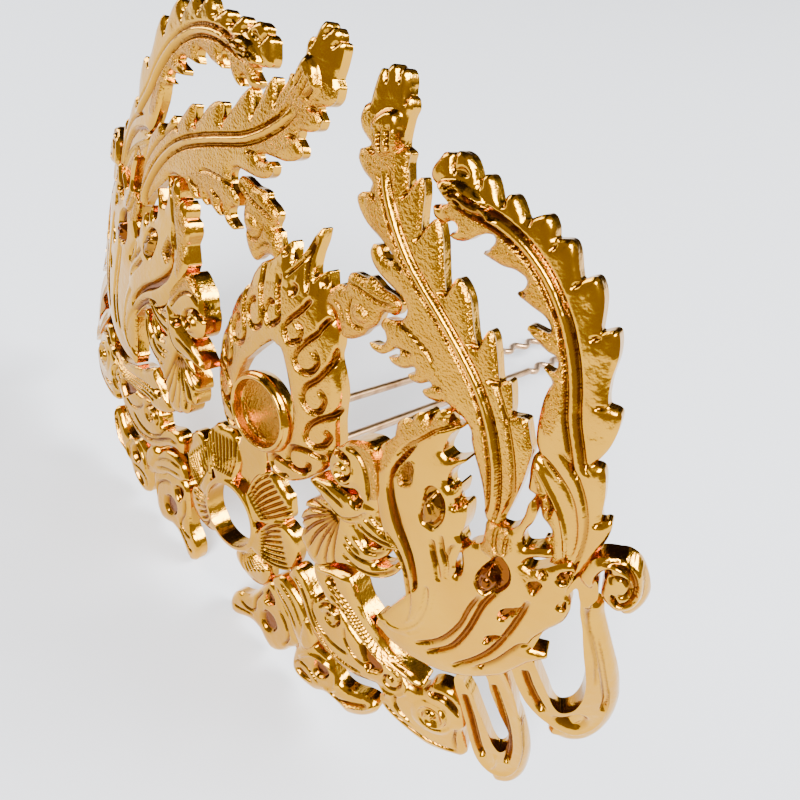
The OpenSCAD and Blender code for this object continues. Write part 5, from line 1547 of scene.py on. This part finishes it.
@dataclass
class HairFork:
    """One wire bent to a U, soldered behind the medallion, with crimps along both legs."""

    wire: bpy.types.Material
    name: str = "hair_fork"
    around: int = 16
    gap: float = 8.6
    crimp: float = 0.7
    crimp_from: float = 86.0
    crimp_to: float = 112.0
    crimp_pitch: float = 8.67
    crimp_flat: float = 0.9
    bow_clear: float = 0.2
    bow_start: float = 0.6
    bow_steps: int = 40
    leg_steps: int = 60
    crimp_step: float = 0.35
    bluntest: float = 0.04

    def path(self) -> np.ndarray:
        """The wire's middle line on the upright plate, from one tip over the bend to the other."""
        reach, back, half = PLATE.fork_reach, PLATE.thickness, self.gap / 2
        bow_y = back + self.bow_clear + PLATE.wire_r + half
        y = np.concatenate([
            np.arange(reach, self.crimp_from, -self.crimp_step),
            np.linspace(self.crimp_from, bow_y + self.bow_start, self.leg_steps),
        ])
        waves = (y > self.crimp_from) & (y < self.crimp_to)
        phase = (y - self.crimp_from) / self.crimp_pitch * 2 * math.pi
        sway = np.where(waves, self.crimp * np.sin(phase), 0.0)
        z = PLATE.fork_v - PLATE.fork_drop * (y - back) / (reach - back)
        right = np.stack([half + sway, y, z], axis=1)
        left = np.stack([sway - half, y, z], axis=1)
        a = np.radians(np.linspace(180, 360, self.bow_steps))
        bow = np.stack([half * np.cos(a), bow_y + half * np.sin(a), PLATE.fork_v + 0 * a], axis=1)
        return np.concatenate([left, bow, right[::-1]])

    def build(self) -> list[bpy.types.Object]:
        """Wraps a grid round the path, a little flatter at the crimps, with rounded ends."""
        path = self.path()
        run = np.concatenate([[0.0], np.cumsum(np.linalg.norm(np.diff(path, axis=0), axis=1))])
        tip = np.clip(np.minimum(run, run[-1] - run) / PLATE.wire_r, 0, 1)
        full = PLATE.wire_r * np.sqrt(np.clip(1 - (1 - tip) ** 2, self.bluntest, 1))
        crimped = (path[:, 1] > self.crimp_from) & (path[:, 1] < self.crimp_to)
        flat = np.where(crimped, self.crimp_flat, 1.0)
        ahead = np.gradient(path, axis=0)
        ahead /= np.linalg.norm(ahead, axis=1, keepdims=True)
        side = np.stack([ahead[:, 1], -ahead[:, 0], 0 * run], axis=1)
        side /= np.linalg.norm(side, axis=1, keepdims=True)
        up = np.cross(side, ahead)
        obj = grid(f"{self.name}_wire", self.around, len(path) - 1)
        co = corners(obj)
        row = np.rint((co[:, 1] + 0.5) * (len(path) - 1)).astype(int)
        turn = (co[:, 0] + 0.5) * 2 * math.pi
        ring = side[row] * np.cos(turn)[:, None] + up[row] * (np.sin(turn) * flat[row])[:, None]
        set_corners(obj, PLATE.stand(path[row] + full[row][:, None] * ring))
        close_up(obj)
        obj.data.materials.append(self.wire)
        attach(obj, "root")
        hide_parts(self.name)
        log.info("%s: %d faces", obj.name, len(obj.data.polygons))
        return [obj]


@dataclass(frozen=True)
class Lamp:
    """One rectangular soft light aimed at a point, in metres and watts."""

    name: str
    at: tuple[float, float, float]
    to: tuple[float, float, float]
    size: tuple[float, float]
    watts: float

    def build(self) -> None:
        """Hangs the lamp."""
        bpy.ops.object.light_add(type="AREA", location=self.at)
        obj = bpy.context.object
        obj.name = obj.data.name = self.name
        obj.data.shape = "RECTANGLE"
        obj.data.size, obj.data.size_y = self.size
        obj.data.energy = self.watts
        obj.rotation_euler = (Vector(self.to) - Vector(self.at)).to_track_quat("-Z", "Y").to_euler()


@dataclass
class Studio:
    """A pale floor, soft lights with dark gaps between them for the gold to mirror, and the camera."""

    lens_mm: float = 31.2
    sensor_mm: float = 36.0
    nearest_m: float = 0.002
    floor_m: float = 2.4
    floor_middle: tuple[float, float, float] = (-0.3, 0.8, 0.0)
    floor_colour: str = "#E3E8F2"
    fleck_scale: float = 900.0
    dark_side: tuple[float, float, float] = (-0.4, 0.57, 0.72)
    room_dark: str = "#24170C"
    room_light: str = "#C4B486"
    room_strength: float = 0.8
    patch_scale: float = 2.2
    darkens: float = -0.35
    dark_below: float = 0.27
    light_above: float = 0.45
    sees_right: tuple[float, float, float] = (0.6902, 0.6461, 0.326)
    sees_down: tuple[float, float, float] = (0.6071, -0.2717, -0.7468)
    sees_ahead: tuple[float, float, float] = (-0.3939, 0.7133, -0.5797)
    lamps: tuple[Lamp, ...] = (
        Lamp("window", (0.75, 0.85, 0.85), (0.0, 0.0, 0.0), (0.7, 0.5), 46.0),
        Lamp("fill", (0.35, -0.75, 0.95), (0.0, 0.02, 0.0), (0.6, 0.5), 40.0),
        Lamp("left_strip", (-0.80, -0.25, 0.35), (0.0, -0.02, 0.04), (0.25, 0.5), 5.0),
    )

    def floor(self) -> None:
        """The plain pale floor."""
        bpy.ops.mesh.primitive_plane_add(size=self.floor_m, location=(0, 0, 0))
        obj = bpy.context.object
        set_corners(obj, corners(obj) + self.floor_middle)
        obj.name = obj.data.name = "floor"
        made, s = blank("matt white card")
        rough = s.spread(s.noise(s.place(), self.fleck_scale, 2.0), To_Min=0.85, To_Max=0.95)
        s.surface(Base_Color=linear(self.floor_colour), Roughness=rough)
        obj.data.materials.append(made)

    def room(self) -> None:
        """The room the gold mirrors: patchy, and darker towards one side."""
        world = bpy.data.worlds.new("studio")
        bpy.context.scene.world = world
        world.use_nodes = True
        world.node_tree.nodes.clear()
        s = Shader(world.node_tree)
        way = s.place("Generated")
        patch = s.noise(way, self.patch_scale, 1.0)
        dot = {"operation": "DOT_PRODUCT"}
        off = s.node("ShaderNodeVectorMath", dot, i0=way, i1=self.dark_side).outputs["Value"]
        level = s.times_plus(off, self.darkens, patch)
        share = s.spread(level, From_Min=self.dark_below, From_Max=self.light_above)
        colour = s.blend(share, linear(self.room_dark), linear(self.room_light))
        back = s.node("ShaderNodeBackground", Color=colour, Strength=self.room_strength).outputs[0]
        s.node("ShaderNodeOutputWorld", Surface=back)

    def camera(self) -> None:
        """The camera where the photograph's was."""
        right, down, ahead = (PLATE.turn(way) for way in (self.sees_right, self.sees_down, self.sees_ahead))
        turn = Matrix((right, -down, -ahead)).transposed()
        place = PLATE.stand(np.array([PLATE.eye]))[0]
        bpy.ops.object.camera_add(location=place, rotation=turn.to_euler())
        cam = bpy.context.object
        cam.name = "camera"
        cam.data.lens = self.lens_mm
        cam.data.sensor_width = self.sensor_mm
        cam.data.clip_start = self.nearest_m
        bpy.context.scene.camera = cam

    def build(self) -> None:
        """Sets everything up."""
        self.floor()
        for lamp in self.lamps:
            lamp.build()
        self.room()
        self.camera()


def main() -> None:
    """Builds the crown piece by piece, then the studio round it."""
    logging.basicConfig(level=logging.INFO, format="%(name)s: %(message)s")
    gold = GoldPlating().make()
    castings: list[Casting] = [
        Medallion("medallion", gold), Flower("flower", gold), InnerFeather("inner_feather", gold),
        MiddleFeather("middle_feather", gold), OuterFeather("outer_feather", gold), Wing("wing", gold),
        Head("head", gold), CloudBand("cloud_band", gold), SmallLoop("small_loop", gold),
        LargeLoop("large_loop", gold),
    ]
    for casting in castings:
        casting.build()
    StoneCup(gold).build()
    HairFork(DrawnWire().make()).build()
    Studio().build()


if __name__ == "__main__":
    main()
